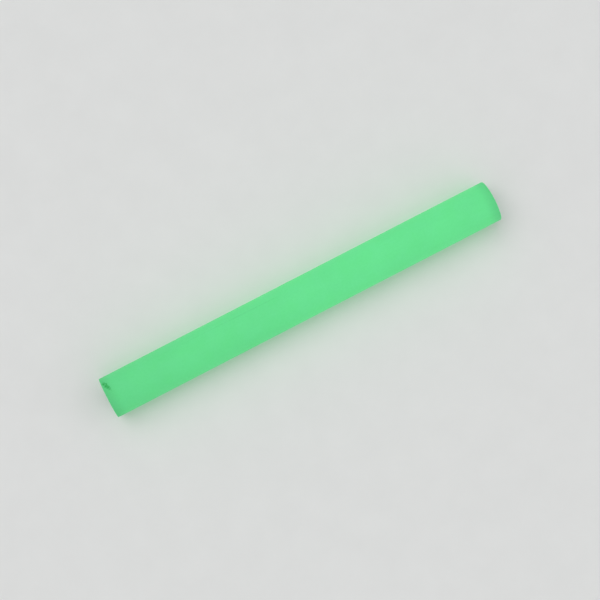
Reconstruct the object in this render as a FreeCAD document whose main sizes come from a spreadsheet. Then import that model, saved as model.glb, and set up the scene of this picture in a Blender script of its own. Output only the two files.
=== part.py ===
import FreeCAD, Part
import math
import os
import re
import Sketcher

# Traffic baton light: a plain round light tube lying on its side.  The tube runs along X, the tail
# end (screw cap, button and hanging ring) is at -X, the tip end (magnet) is at +X, and Z is up.
# Millimetres.  The outlines below are drawn from the tail face, so their X is the depth into the tube.

SIZES = {
    # Light tube: the milky casing that everything else sits inside.
    "tube_long": 404.0,
    "tube_od": 40.0,
    "tube_wall": 2.0,
    "tube_edge": 0.5,
    # Tail collar, bonded into the tube, with the female thread.
    "collar_long": 21.0,
    "collar_wall": 2.7,
    "collar_web": 4.5,
    "seat_gap": 0.2,
    "gland_deep": 2.1,
    "gland_step": 0.9,
    # Cap thread: one coarse start shared by the collar and the cap.
    "thread_pitch": 4.0,
    "thread_deep": 1.2,
    "thread_play": 0.3,
    "thread_crest": 1.1,
    "thread_root": 2.1,
    "thread_sink": 0.3,
    "thread_runout": 0.3,
    # Tail cap.
    "cap_recess": 0.3,
    "cap_play": 0.3,
    "cap_edge": 0.4,
    "head_thick": 5.5,
    "rim_wall": 2.5,
    "groove_wide": 4.4,
    "groove_deep": 3.5,
    "notch_od": 8.4,
    "neck_long": 14.8,
    "neck_wall": 2.6,
    "ledge_wide": 0.8,
    "ledge_deep": 10.2,
    # Seal ring under the cap head.
    "seal_thick": 2.0,
    "seal_play": 0.2,
    "seal_lift": 0.2,
    # Hanging ring that folds into the groove of the cap.
    "ring_wire": 2.0,
    "ring_deep": 1.9,
    "ring_grip": 1.4,
    "pivot_play": 0.15,
    # Push button, its seal and the switch under it.
    "button_od": 11.8,
    "button_play": 0.3,
    "button_recess": 0.5,
    "button_edge": 0.8,
    "button_lift": 0.1,
    "button_flange": 1.0,
    "button_lip": 1.5,
    "button_travel": 1.2,
    "button_seal_thick": 1.0,
    "button_seal_deep": 2.2,
    "button_seal_play": 0.1,
    "plunger_od": 4.0,
    "plunger_long": 2.9,
    "plunger_play": 0.2,
    "switch_wide": 10.0,
    "switch_gap": 0.5,
    "switch_pit": 2.6,
    "switch_board_thick": 1.6,
    "board_play": 0.1,
    "retainer_thick": 3.2,
    "retainer_lip": 0.6,
    # Battery spring on the switch board.
    "spring_wire": 0.8,
    "spring_od": 10.4,
    "spring_turns": 4.0,
    "spring_gap": 0.1,
    # Core tube: holds the cells and carries the light strips on three flats.
    "core_wall": 2.4,
    "contact_gap": 0.2,
    "flat_deep": 1.2,
    # Battery cells, size AA.
    "cell_od": 14.5,
    "cell_play": 0.35,
    "cell_long": 50.5,
    "cell_edge": 0.8,
    "cell_start": 4.0,
    "nub_od": 5.5,
    "nub_long": 1.2,
    # Positive contact and the stop behind it.
    "contact_od": 10.0,
    "contact_thick": 0.6,
    "stud_od": 2.4,
    "stud_out": 1.2,
    "stop_long": 5.0,
    # Driver board in its sleeve.
    "sleeve_wall": 0.4,
    "driver_gap": 2.0,
    "driver_long": 60.0,
    "driver_wide": 12.4,
    "driver_thick": 1.0,
    "driver_play": 0.06,
    "chip_long": 5.0,
    "chip_wide": 6.0,
    "chip_tall": 1.7,
    "chip_at": 14.0,
    "coil_od": 6.5,
    "coil_tall": 4.5,
    "coil_at": 26.0,
    "can_od": 5.0,
    "can_tall": 5.8,
    "can_at": 35.0,
    "can_pitch": 6.5,
    "mosfet_long": 6.5,
    "mosfet_wide": 6.0,
    "mosfet_tall": 2.3,
    "mosfet_at": 5.0,
    "lead_od": 1.2,
    "lead_apart": 6.4,
    "lead_overlap": 5.0,
    # Light strips, their diodes and resistors.
    "strip_wide": 8.0,
    "strip_thick": 0.4,
    "strip_start": 1.5,
    "led_count": 22.0,
    "led_long": 3.5,
    "led_wide": 2.8,
    "led_tall": 0.8,
    "led_margin": 7.0,
    "resistor_long": 2.0,
    "resistor_wide": 1.25,
    "resistor_tall": 0.5,
    # Tip plug, end board and magnet.
    "tip_long": 14.0,
    "socket_deep": 5.6,
    "socket_play": 0.2,
    "end_board_thick": 1.6,
    "magnet_od": 20.0,
    "magnet_thick": 5.0,
    "magnet_recess": 0.2,
    "magnet_play": 0.1,
    "backing_thick": 1.0,
}
CELLS = {name: f"Sizes.{name}" for name in SIZES}
STRIPS = 3
BATTERIES = 3

# Radii from the axis, worked inwards from the bore of the light tube.
BORE_R = "(tube_od / 2 - tube_wall)"
HEAD_R = f"({BORE_R} - cap_play)"
GROOVE_OUT_R = f"({HEAD_R} - rim_wall)"
GROOVE_IN_R = f"({GROOVE_OUT_R} - groove_wide)"
RING_R = f"({GROOVE_OUT_R} - groove_wide / 2)"
STUB_R = f"({GROOVE_OUT_R} + ring_grip)"
THREAD_OUT_R = f"({BORE_R} - collar_wall)"
THREAD_IN_R = f"({THREAD_OUT_R} - thread_deep)"
CREST_R = f"({THREAD_OUT_R} - thread_play)"
NECK_R = f"({CREST_R} - thread_deep)"
NECK_BORE_R = f"({NECK_R} - neck_wall)"
LEDGE_R = f"({NECK_BORE_R} - ledge_wide)"
GLAND_R = f"({THREAD_OUT_R} + gland_step)"
SEAL_R = f"({GLAND_R} - seal_play - seal_thick / 2)"
BUTTON_R = "(button_od / 2)"
BUTTON_HOLE_R = f"({BUTTON_R} + button_play)"
FLANGE_R = f"({BUTTON_R} + button_lip)"
CORE_BORE_R = "(cell_od / 2 + cell_play)"
CORE_R = f"({CORE_BORE_R} + core_wall)"
FLAT_R = f"({CORE_R} - flat_deep)"
STRIP_R = f"({FLAT_R} + strip_thick)"
SLEEVE_R = f"({CORE_BORE_R} - sleeve_wall)"
SOCKET_R = f"({CORE_R} + socket_play)"
MAGNET_HOLE_R = "(magnet_od / 2 + magnet_play)"

# Depths into the tube from its tail face.
HEAD_FRONT = "cap_recess"
HEAD_BACK = "(cap_recess + head_thick)"
GROOVE_FLOOR = "(cap_recess + groove_deep)"
RING_AT = "(cap_recess + ring_deep)"
COLLAR_FRONT = f"({HEAD_BACK} + seat_gap)"
COLLAR_BACK = f"({COLLAR_FRONT} + collar_long)"
GLAND_FLOOR = f"({COLLAR_FRONT} + gland_deep)"
WEB_FRONT = f"({COLLAR_BACK} - collar_web)"
COLLAR_THREAD_AT = f"({GLAND_FLOOR} + thread_root / 2)"
CAP_THREAD_AT = f"({COLLAR_THREAD_AT} + thread_pitch / 2)"
NECK_END = f"({HEAD_BACK} + neck_long)"
THREAD_MARGIN = "(thread_root / 2 + thread_runout)"
CAP_TURNS = f"(({NECK_END} - {CAP_THREAD_AT} - {THREAD_MARGIN}) / thread_pitch)"
COLLAR_TURNS = f"(({WEB_FRONT} - {COLLAR_THREAD_AT} - {THREAD_MARGIN}) / thread_pitch)"
LEDGE_AT = f"({HEAD_BACK} + ledge_deep)"
SEAL_AT = f"({HEAD_BACK} + seal_lift + seal_thick / 2)"
BUTTON_FACE = "(cap_recess + button_recess)"
FLANGE_FRONT = f"({HEAD_BACK} + button_lift)"
FLANGE_BACK = f"({FLANGE_FRONT} + button_flange)"
SWITCH_FRONT = f"({FLANGE_BACK} + button_travel + switch_gap)"
BOARD_BACK = f"({LEDGE_AT} + switch_board_thick)"
RETAINER_BACK = f"({BOARD_BACK} + retainer_thick)"
CORE_FRONT = f"({RETAINER_BACK} + contact_gap)"
CELLS_FRONT = f"({CORE_FRONT} + cell_start)"
CONTACT_AT = f"({CELLS_FRONT} + {BATTERIES} * cell_long)"
STOP_FRONT = f"({CONTACT_AT} + contact_thick)"
STOP_BACK = f"({STOP_FRONT} + stop_long)"
DRIVER_FRONT = f"({STOP_BACK} + driver_gap)"
DRIVER_BACK = f"({DRIVER_FRONT} + driver_long)"
DRIVER_DROP = f"(sqrt({SLEEVE_R} ^ 2 - (driver_wide / 2) ^ 2) - driver_play)"
DRIVER_TOP = f"(driver_thick - {DRIVER_DROP})"
STRIP_FRONT = f"({COLLAR_BACK} + strip_start)"
TIP_FRONT = "(tube_long - tip_long)"
SOCKET_FLOOR = f"({TIP_FRONT} + socket_deep)"
CORE_BACK = f"({SOCKET_FLOOR} - end_board_thick)"
MAGNET_BACK = "(tube_long - magnet_recess)"
MAGNET_FRONT = f"({MAGNET_BACK} - magnet_thick)"
BACKING_FRONT = f"({MAGNET_FRONT} - backing_thick)"
STRIP_LONG = f"({CORE_BACK} - {STRIP_FRONT})"
LED_PITCH = f"(({STRIP_LONG} - 2 * led_margin) / (led_count - 1))"

doc = FreeCAD.newDocument("baton_light")


def fill_sheet():
    """Puts each driving size into its own named cell."""
    sheet = doc.addObject("Spreadsheet::Sheet", "Sizes")
    for row, (name, value) in enumerate(SIZES.items(), 1):
        sheet.set(f"A{row}", name)
        sheet.set(f"B{row}", str(value))
        sheet.setAlias(f"B{row}", name)
    doc.recompute()
    return sheet


def bound(formula):
    """A formula whose size names point at the cells of the sheet."""
    return re.sub(r"[a-z]\w+", lambda word: CELLS.get(word.group(), word.group()), formula)


def bind(target, **formulas):
    """Ties properties to formulas; a double underscore stands for a dot in the property's path."""
    for path, formula in formulas.items():
        target.setExpression(path.replace("__", "."), bound(formula))


def place(node, turn=0.0):
    """Sets a node on the tube's axis, turned about it, with the tube resting on the ground."""
    node.Placement.Rotation = FreeCAD.Rotation(FreeCAD.Vector(1, 0, 0), turn)
    bind(node, Placement__Base__x="-tube_long / 2", Placement__Base__z="tube_od / 2")


def new_body(name, turn=0.0):
    body = doc.addObject("PartDesign::Body", name)
    body.Label = name
    place(body, turn)
    return body


def origin_plane(body, role):
    return next(item for item in body.Origin.OriginFeatures if item.Role == role)


def limit(sketch, constraint, formula):
    """Adds a sketch dimension whose value is a formula."""
    index = sketch.addConstraint(constraint)
    sketch.setExpression(f"Constraints[{index}]", bound(formula))


def outline(body, name, role, corners, depth="0"):
    """A closed outline of straight edges whose corners are formulas, on an origin plane."""
    sketch = body.newObject("Sketcher::SketchObject", name)
    sketch.AttachmentSupport = (origin_plane(body, role), "")
    sketch.MapMode = "FlatFace"
    bind(sketch, AttachmentOffset__Base__z=depth)
    count = len(corners)
    turn = 2 * math.pi / count
    middle = FreeCAD.Vector(9, 9, 0)
    guess = [middle + FreeCAD.Vector(math.cos(i * turn), math.sin(i * turn), 0) for i in range(count)]
    for i in range(count):
        sketch.addGeometry(Part.LineSegment(guess[i], guess[(i + 1) % count]), False)
    for i in range(count):
        sketch.addConstraint(Sketcher.Constraint("Coincident", i, 2, (i + 1) % count, 1))
    for i, (across, up) in enumerate(corners):
        limit(sketch, Sketcher.Constraint("DistanceX", i, 1, guess[i].x), across)
        limit(sketch, Sketcher.Constraint("DistanceY", i, 1, guess[i].y), up)
    return sketch


def circle(body, name, role, across, up, radius, depth="0"):
    """A circle whose centre and radius are formulas, on an origin plane."""
    sketch = body.newObject("Sketcher::SketchObject", name)
    sketch.AttachmentSupport = (origin_plane(body, role), "")
    sketch.MapMode = "FlatFace"
    bind(sketch, AttachmentOffset__Base__z=depth)
    sketch.addGeometry(Part.Circle(FreeCAD.Vector(1, 1, 0), FreeCAD.Vector(0, 0, 1), 1), False)
    limit(sketch, Sketcher.Constraint("DistanceX", 0, 3, 1.0), across)
    limit(sketch, Sketcher.Constraint("DistanceY", 0, 3, 1.0), up)
    limit(sketch, Sketcher.Constraint("Radius", 0, 1.0), radius)
    return sketch


def turned(name, corners):
    """A round piece: its half outline (depth, radius) turned about the tube's axis."""
    body = new_body(name)
    sketch = outline(body, name + "_outline", "XY_Plane", corners)
    turning = body.newObject("PartDesign::Revolution", name + "_turned")
    turning.Profile = sketch
    turning.ReferenceAxis = (sketch, ["H_Axis"])
    turning.Angle = 360
    return body


def block(name, front, length, half_wide, bottom, top, turn=0.0):
    """A straight-sided piece along the tube, from its cross-section."""
    body = new_body(name, turn)
    sides = (f"-{half_wide}", half_wide)
    corners = [(sides[0], bottom), (sides[1], bottom), (sides[1], top), (sides[0], top)]
    sketch = outline(body, name + "_section", "YZ_Plane", corners, front)
    pad = body.newObject("PartDesign::Pad", name + "_pad")
    pad.Profile = sketch
    bind(pad, Length=length)
    return body


def drill(body, name, sketch, length):
    """A pocket along the sketch's own normal: +X on the YZ plane, -Y on the XZ plane."""
    pocket = body.newObject("PartDesign::Pocket", name)
    pocket.Profile = sketch
    pocket.Reversed = True
    bind(pocket, Length=length)
    return pocket


def ring_of(body, feature, name, count):
    """Repeats a feature evenly around the tube's axis."""
    pattern = body.newObject("PartDesign::PolarPattern", name)
    pattern.Originals = [feature]
    pattern.Axis = (origin_plane(body, "X_Axis"), [""])
    pattern.Angle = 360
    pattern.Occurrences = count
    body.Tip = pattern
    return pattern


def row_of(body, feature, name, length, count):
    """Repeats a feature in a straight row along the tube."""
    pattern = body.newObject("PartDesign::LinearPattern", name)
    pattern.Originals = [feature]
    pattern.Direction = (origin_plane(body, "X_Axis"), [""])
    bind(pattern, Length=length, Occurrences=count)
    body.Tip = pattern
    return pattern


def thread(body, name, start, root, crest, turns):
    """A helical ridge about the tube's axis, rooted a little inside the wall that carries it."""
    half_root = "thread_root / 2"
    half_crest = "thread_crest / 2"
    corners = [(f"{start} - {half_root}", root), (f"{start} - {half_crest}", crest)]
    corners += [(f"{start} + {half_crest}", crest), (f"{start} + {half_root}", root)]
    sketch = outline(body, name + "_ridge", "XY_Plane", corners)
    helix = body.newObject("PartDesign::AdditiveHelix", name)
    helix.Profile = sketch
    helix.ReferenceAxis = (sketch, ["H_Axis"])
    helix.Mode = "pitch-turns-angle"
    bind(helix, Pitch="thread_pitch", Turns=turns)
    return helix


def seal_ring(name, ring_radius, thick, depth):
    """A round rubber ring about the tube's axis."""
    ring = doc.addObject("Part::Torus", name)
    ring.Label = name
    ring.Placement.Rotation = FreeCAD.Rotation(FreeCAD.Vector(0, 1, 0), 90)
    bind(ring, Radius1=ring_radius, Radius2=f"{thick} / 2")
    bind(ring, Placement__Base__x=f"{depth} - tube_long / 2", Placement__Base__z="tube_od / 2")
    return ring


def make_light_tube():
    turned("diffuser_tube", [
        ("tube_edge", "tube_od / 2"), ("tube_long - tube_edge", "tube_od / 2"),
        ("tube_long", "tube_od / 2 - tube_edge"), ("tube_long", BORE_R),
        ("0", BORE_R), ("0", "tube_od / 2 - tube_edge")])


def make_collar():
    collar = turned("tail_collar", [
        (COLLAR_FRONT, BORE_R), (COLLAR_BACK, BORE_R), (COLLAR_BACK, CORE_R), (WEB_FRONT, CORE_R),
        (WEB_FRONT, THREAD_OUT_R), (GLAND_FLOOR, THREAD_OUT_R), (GLAND_FLOOR, GLAND_R),
        (COLLAR_FRONT, GLAND_R)])
    root = f"{THREAD_OUT_R} + thread_sink"
    thread(collar, "collar_thread", COLLAR_THREAD_AT, root, THREAD_IN_R, COLLAR_TURNS)


def make_cap():
    cap = turned("tail_cap", [
        (HEAD_FRONT, BUTTON_HOLE_R), (HEAD_FRONT, GROOVE_IN_R), (GROOVE_FLOOR, GROOVE_IN_R),
        (GROOVE_FLOOR, GROOVE_OUT_R), (HEAD_FRONT, GROOVE_OUT_R),
        (HEAD_FRONT, f"{HEAD_R} - cap_edge"), (f"{HEAD_FRONT} + cap_edge", HEAD_R), (HEAD_BACK, HEAD_R),
        (HEAD_BACK, NECK_R), (NECK_END, NECK_R), (NECK_END, NECK_BORE_R), (LEDGE_AT, NECK_BORE_R),
        (LEDGE_AT, LEDGE_R), (HEAD_BACK, LEDGE_R), (HEAD_BACK, BUTTON_HOLE_R)])
    thread(cap, "cap_thread", CAP_THREAD_AT, f"{NECK_R} - thread_sink", CREST_R, CAP_TURNS)
    hole_r = "ring_wire / 2 + pivot_play"
    hole = circle(cap, "pivot_hole_outline", "XZ_Plane", RING_AT, "0", hole_r, f"-{HEAD_R}")
    pocket = drill(cap, "pivot_hole", hole, "rim_wall + groove_wide / 2")
    ring_of(cap, pocket, "pivot_holes", 2)
    notch = circle(cap, "notch_outline", "YZ_Plane", "0", f"-{RING_R}", "notch_od / 2", HEAD_FRONT)
    pocket = drill(cap, "notch", notch, "groove_deep")
    ring_of(cap, pocket, "notches", 2)


def make_cap_insides():
    seal_ring("cap_seal", SEAL_R, "seal_thick", SEAL_AT)
    switch = block("switch_body", SWITCH_FRONT, f"{LEDGE_AT} - {SWITCH_FRONT}",
                   "switch_wide / 2", "-switch_wide / 2", "switch_wide / 2")
    pit_r = "plunger_od / 2 + plunger_play"
    pit = circle(switch, "plunger_pit_outline", "YZ_Plane", "0", "0", pit_r, SWITCH_FRONT)
    drill(switch, "plunger_pit", pit, "switch_pit")
    turned("switch_board", [
        (LEDGE_AT, "0"), (BOARD_BACK, "0"), (BOARD_BACK, f"{NECK_BORE_R} - board_play"),
        (LEDGE_AT, f"{NECK_BORE_R} - board_play")])
    turned("retaining_ring", [
        (BOARD_BACK, f"{CORE_BORE_R} + retainer_lip"), (RETAINER_BACK, f"{CORE_BORE_R} + retainer_lip"),
        (RETAINER_BACK, NECK_BORE_R), (BOARD_BACK, NECK_BORE_R)])


def make_spring():
    """The battery spring: a wound wire whose first coil rests on the switch board."""
    coil = doc.addObject("Part::Helix", "spring_path")
    tall = f"({CELLS_FRONT} - {BOARD_BACK} - spring_gap - spring_wire)"
    bind(coil, Radius="spring_od / 2 - spring_wire / 2", Height=tall, Pitch=f"{tall} / spring_turns")
    section = doc.addObject("Part::Circle", "spring_section")
    section.Placement.Rotation = FreeCAD.Rotation(FreeCAD.Vector(1, 0, 0), 90)
    bind(section, Radius="spring_wire / 2", Placement__Base__x="spring_od / 2 - spring_wire / 2")
    spring = doc.addObject("Part::Sweep", "battery_spring")
    spring.Label = "battery_spring"
    spring.Sections = [section]
    spring.Spine = (coil, ["Edge1"])
    spring.Solid = True
    spring.Frenet = True
    spring.Placement.Rotation = FreeCAD.Rotation(FreeCAD.Vector(0, 1, 0), 90)
    bind(spring, Placement__Base__x=f"{BOARD_BACK} + spring_wire / 2 - tube_long / 2")
    bind(spring, Placement__Base__z="tube_od / 2")


def make_button():
    groove_front = f"({BUTTON_FACE} + button_seal_deep)"
    groove_back = f"({groove_front} + button_seal_thick + button_seal_play)"
    groove_r = f"({BUTTON_HOLE_R} - button_seal_play - button_seal_thick)"
    turned("push_button", [
        (BUTTON_FACE, "0"), (FLANGE_BACK, "0"), (FLANGE_BACK, FLANGE_R), (FLANGE_FRONT, FLANGE_R),
        (FLANGE_FRONT, BUTTON_R), (groove_back, BUTTON_R), (groove_back, groove_r), (groove_front, groove_r),
        (groove_front, BUTTON_R), (f"{BUTTON_FACE} + button_edge", BUTTON_R),
        (BUTTON_FACE, f"{BUTTON_R} - button_edge")])
    seal_ring("button_seal", f"{groove_r} + button_seal_thick / 2", "button_seal_thick",
              f"{groove_front} + button_seal_thick / 2")
    turned("switch_plunger", [
        (FLANGE_BACK, "0"), (f"{FLANGE_BACK} + plunger_long", "0"),
        (f"{FLANGE_BACK} + plunger_long", "plunger_od / 2"), (FLANGE_BACK, "plunger_od / 2")])


def make_hanging_ring():
    """A half ring of wire, folded down into its groove, with a straight pivot stub at each end."""
    bow = doc.addObject("Part::Torus", "ring_bow")
    bow.Angle3 = 180
    across = FreeCAD.Vector(0, 1, 0)
    down = FreeCAD.Vector(0, 0, -1)
    outwards = FreeCAD.Vector(-1, 0, 0)
    bow.Placement.Rotation = FreeCAD.Rotation(across, down, outwards)
    bind(bow, Radius1=RING_R, Radius2="ring_wire / 2")
    pieces = [bow]
    for side, sign in (("left", "-"), ("right", "")):
        knee = doc.addObject("Part::Sphere", f"ring_knee_{side}")
        bind(knee, Radius="ring_wire / 2", Placement__Base__y=f"{sign}{RING_R}")
        stub = doc.addObject("Part::Cylinder", f"ring_stub_{side}")
        turn = 90 if sign else -90
        stub.Placement.Rotation = FreeCAD.Rotation(FreeCAD.Vector(1, 0, 0), turn)
        bind(stub, Radius="ring_wire / 2", Height=f"{STUB_R} - {RING_R}")
        bind(stub, Placement__Base__y=f"{sign}{RING_R}")
        pieces += [knee, stub]
    ring = doc.addObject("Part::MultiFuse", "hanging_ring")
    ring.Label = "hanging_ring"
    ring.Shapes = pieces
    bind(ring, Placement__Base__x=f"{RING_AT} - tube_long / 2", Placement__Base__z="tube_od / 2")


def make_core():
    core = turned("core_tube", [
        (CORE_FRONT, CORE_BORE_R), (CORE_BACK, CORE_BORE_R), (CORE_BACK, CORE_R), (CORE_FRONT, CORE_R)])
    corners = [(f"-{CORE_R}", FLAT_R), (CORE_R, FLAT_R), (CORE_R, CORE_R), (f"-{CORE_R}", CORE_R)]
    flat = outline(core, "flat_outline", "YZ_Plane", corners, COLLAR_BACK)
    pocket = drill(core, "flat", flat, f"{CORE_BACK} - {COLLAR_BACK}")
    ring_of(core, pocket, "flats", STRIPS)


def make_strip(number, turn):
    """One light strip on its flat, with a row of diodes and a row of resistors between them."""
    block(f"led_strip_{number}", STRIP_FRONT, STRIP_LONG, "strip_wide / 2", FLAT_R, STRIP_R, turn)
    first = f"({STRIP_FRONT} + led_margin)"
    leds = block(f"leds_{number}", f"{first} - led_long / 2", "led_long", "led_wide / 2",
                 STRIP_R, f"{STRIP_R} + led_tall", turn)
    row_of(leds, leds.Tip, f"led_row_{number}", f"{LED_PITCH} * (led_count - 1)", "led_count")
    between = f"{first} + {LED_PITCH} / 2"
    resistors = block(f"resistors_{number}", f"{between} - resistor_long / 2", "resistor_long",
                      "resistor_wide / 2", STRIP_R, f"{STRIP_R} + resistor_tall", turn)
    reach = f"{LED_PITCH} * (led_count - 2)"
    row_of(resistors, resistors.Tip, f"resistor_row_{number}", reach, "led_count / 2")


def make_cell(number):
    front = f"({CELLS_FRONT} + {number - 1} * cell_long)"
    shoulder = f"({front} + cell_long - nub_long)"
    can_r = "(cell_od / 2)"
    turned(f"battery_cell_{number}", [
        (front, "0"), (f"{front} + cell_long", "0"), (f"{front} + cell_long", "nub_od / 2"),
        (shoulder, "nub_od / 2"), (shoulder, f"{can_r} - cell_edge"), (f"{shoulder} - cell_edge", can_r),
        (f"{front} + cell_edge", can_r), (front, f"{can_r} - cell_edge")])


def make_contact():
    turned("positive_contact", [
        (CONTACT_AT, "0"), (f"{STOP_BACK} + stud_out", "0"), (f"{STOP_BACK} + stud_out", "stud_od / 2"),
        (STOP_FRONT, "stud_od / 2"), (STOP_FRONT, "contact_od / 2"), (CONTACT_AT, "contact_od / 2")])
    turned("battery_stop", [
        (STOP_FRONT, "stud_od / 2"), (STOP_BACK, "stud_od / 2"),
        (STOP_BACK, CORE_BORE_R), (STOP_FRONT, CORE_BORE_R)])


def standing_can(name, along, od, tall):
    """A round component standing on the driver board."""
    can = doc.addObject("Part::Cylinder", name)
    bind(can, Radius=f"{od} / 2", Height=tall)
    bind(can, Placement__Base__x=f"{DRIVER_FRONT} + {along} - tube_long / 2")
    bind(can, Placement__Base__z=f"tube_od / 2 + {DRIVER_TOP}")
    return can


def make_driver():
    turned("board_sleeve", [
        (STOP_BACK, SLEEVE_R), (f"{DRIVER_BACK} + driver_gap", SLEEVE_R),
        (f"{DRIVER_BACK} + driver_gap", CORE_BORE_R), (STOP_BACK, CORE_BORE_R)])
    block("driver_board", DRIVER_FRONT, "driver_long", "driver_wide / 2", f"-{DRIVER_DROP}", DRIVER_TOP)
    block("power_transistor", f"{DRIVER_FRONT} + mosfet_at - mosfet_long / 2", "mosfet_long",
          "mosfet_wide / 2", DRIVER_TOP, f"{DRIVER_TOP} + mosfet_tall")
    block("controller_chip", f"{DRIVER_FRONT} + chip_at - chip_long / 2", "chip_long",
          "chip_wide / 2", DRIVER_TOP, f"{DRIVER_TOP} + chip_tall")
    coil = standing_can("inductor", "coil_at", "coil_od", "coil_tall")
    coil.Label = "inductor"
    cans = []
    for i in range(2):
        cans.append(standing_can(f"can_{i + 1}", f"can_at + {i} * can_pitch", "can_od", "can_tall"))
    capacitors = doc.addObject("Part::Compound", "capacitors")
    capacitors.Label = "capacitors"
    capacitors.Links = cans


def make_lead(name, side):
    """A straight lead from the driver board to the end board."""
    lead = doc.addObject("Part::Cylinder", name)
    lead.Label = name
    lead.Placement.Rotation = FreeCAD.Rotation(FreeCAD.Vector(0, 1, 0), 90)
    bind(lead, Radius="lead_od / 2", Height=f"{SOCKET_FLOOR} - {DRIVER_BACK} + lead_overlap")
    bind(lead, Placement__Base__x=f"{DRIVER_BACK} - lead_overlap - tube_long / 2")
    bind(lead, Placement__Base__y=f"{side}lead_apart / 2")
    bind(lead, Placement__Base__z=f"tube_od / 2 + {DRIVER_TOP} + lead_od / 2")


def make_tip():
    turned("tip_plug", [
        (TIP_FRONT, SOCKET_R), (SOCKET_FLOOR, SOCKET_R), (SOCKET_FLOOR, "0"), (BACKING_FRONT, "0"),
        (BACKING_FRONT, MAGNET_HOLE_R), ("tube_long", MAGNET_HOLE_R),
        ("tube_long", BORE_R), (TIP_FRONT, BORE_R)])
    turned("magnet_backing", [
        (BACKING_FRONT, "0"), (MAGNET_FRONT, "0"),
        (MAGNET_FRONT, MAGNET_HOLE_R), (BACKING_FRONT, MAGNET_HOLE_R)])
    turned("tip_magnet", [
        (MAGNET_FRONT, "0"), (MAGNET_BACK, "0"),
        (MAGNET_BACK, "magnet_od / 2"), (MAGNET_FRONT, "magnet_od / 2")])
    board = turned("end_board", [
        (CORE_BACK, "0"), (SOCKET_FLOOR, "0"), (SOCKET_FLOOR, SOCKET_R), (CORE_BACK, SOCKET_R)])
    for side, sign in (("left", "-"), ("right", "")):
        hole = circle(board, f"lead_hole_{side}_outline", "YZ_Plane", f"{sign}lead_apart / 2",
                      f"{DRIVER_TOP} + lead_od / 2", "lead_od / 2", CORE_BACK)
        drill(board, f"lead_hole_{side}", hole, "end_board_thick")


def is_sub_part(item):
    """True for a body, and for a solid made of primitives that no other object uses."""
    if item.isDerivedFrom("PartDesign::Body"):
        return True
    primitive = item.isDerivedFrom("Part::Feature") and not item.isDerivedFrom("PartDesign::Feature")
    return primitive and not item.InList


def sub_parts():
    """Every finished sub-part, in order of name."""
    return sorted(filter(is_sub_part, doc.Objects), key=lambda item: item.Label)


def check_and_write(parts):
    """Stops on a failed object, a cut that removed nothing or a bad solid, then writes every part."""
    for item in doc.Objects:
        if "Invalid" in item.State or "Error" in item.State:
            raise RuntimeError(f"{item.Label} failed: {item.State}")
        if item.isDerivedFrom("PartDesign::Pocket"):
            if item.Shape.Volume >= item.BaseFeature.Shape.Volume - 0.01:
                raise RuntimeError(f"{item.Label} cut nothing")
    for part in parts:
        if part.Shape.isNull() or not part.Shape.isValid() or not part.Shape.Solids:
            raise RuntimeError(f"{part.Label} has no valid solid")
    os.makedirs("parts", exist_ok=True)
    for part in parts:
        part.Shape.exportStep(f"parts/{part.Label}.step")
        box = part.Shape.BoundBox
        print(f"{part.Label:18s} solids {len(part.Shape.Solids):2d}  volume {part.Shape.Volume:9.1f}  "
              f"x {box.XMin:8.2f} to {box.XMax:8.2f}")
    print(len(parts), "sub-parts")


fill_sheet()
make_light_tube()
make_collar()
make_cap()
make_cap_insides()
make_spring()
make_button()
make_hanging_ring()
make_core()
for strip in range(STRIPS):
    make_strip(strip + 1, 360.0 * strip / STRIPS)
for cell in range(BATTERIES):
    make_cell(cell + 1)
make_contact()
make_driver()
make_lead("lead_positive", "")
make_lead("lead_negative", "-")
make_tip()
doc.recompute()
check_and_write(sub_parts())
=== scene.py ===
"""Traffic baton light: a lit milky tube with a screw cap, cells, light strips and a magnet."""

import logging
import math
from collections.abc import Iterable, Mapping, Sequence
from dataclasses import dataclass, field
from enum import Enum

import bmesh
import bpy
from mathutils import Matrix, Vector


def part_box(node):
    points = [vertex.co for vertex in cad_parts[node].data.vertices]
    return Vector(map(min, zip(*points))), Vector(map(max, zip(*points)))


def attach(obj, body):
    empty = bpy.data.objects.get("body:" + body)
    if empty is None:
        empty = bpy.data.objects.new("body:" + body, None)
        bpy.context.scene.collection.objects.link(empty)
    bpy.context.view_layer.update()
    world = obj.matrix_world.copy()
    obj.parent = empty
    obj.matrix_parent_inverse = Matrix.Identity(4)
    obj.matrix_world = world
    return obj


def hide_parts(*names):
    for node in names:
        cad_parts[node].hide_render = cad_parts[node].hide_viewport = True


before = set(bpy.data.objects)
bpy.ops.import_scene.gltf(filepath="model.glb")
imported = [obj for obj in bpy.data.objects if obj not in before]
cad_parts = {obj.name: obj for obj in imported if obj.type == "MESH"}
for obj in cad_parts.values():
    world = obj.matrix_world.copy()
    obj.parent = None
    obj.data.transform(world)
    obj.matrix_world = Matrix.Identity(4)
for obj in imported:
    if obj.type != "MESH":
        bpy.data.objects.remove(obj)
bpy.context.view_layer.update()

LOG = logging.getLogger("baton_light")
MM = 0.001
TUBE_LOW, TUBE_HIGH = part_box("diffuser_tube")
AXIS = (TUBE_LOW + TUBE_HIGH) / 2
ALONG = Vector((1.0, 0.0, 0.0))
UP = Vector((0.0, 0.0, 1.0))
FLATS = 3
# Faces that meet at less than this angle are shaded as one curved surface.
SHARP = math.radians(32.0)
# Nearly all of a noise pattern's values lie between these two.
NOISE_BAND = (0.3, 0.7)
# A drawn pattern reads its place along the tube this much smaller, so its marks grow that much longer.
DRAWN_OUT = 0.015

Socket = bpy.types.NodeSocket
Shape = bmesh.types.BMesh
Piece = bpy.types.Object
Outline = Sequence[tuple[float, float]]


class Body(Enum):
    """The rigid bodies that the pieces move with."""

    BATON = "baton"
    CAP = "tail_cap"
    BUTTON = "button"
    RING = "hanging_ring"


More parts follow.
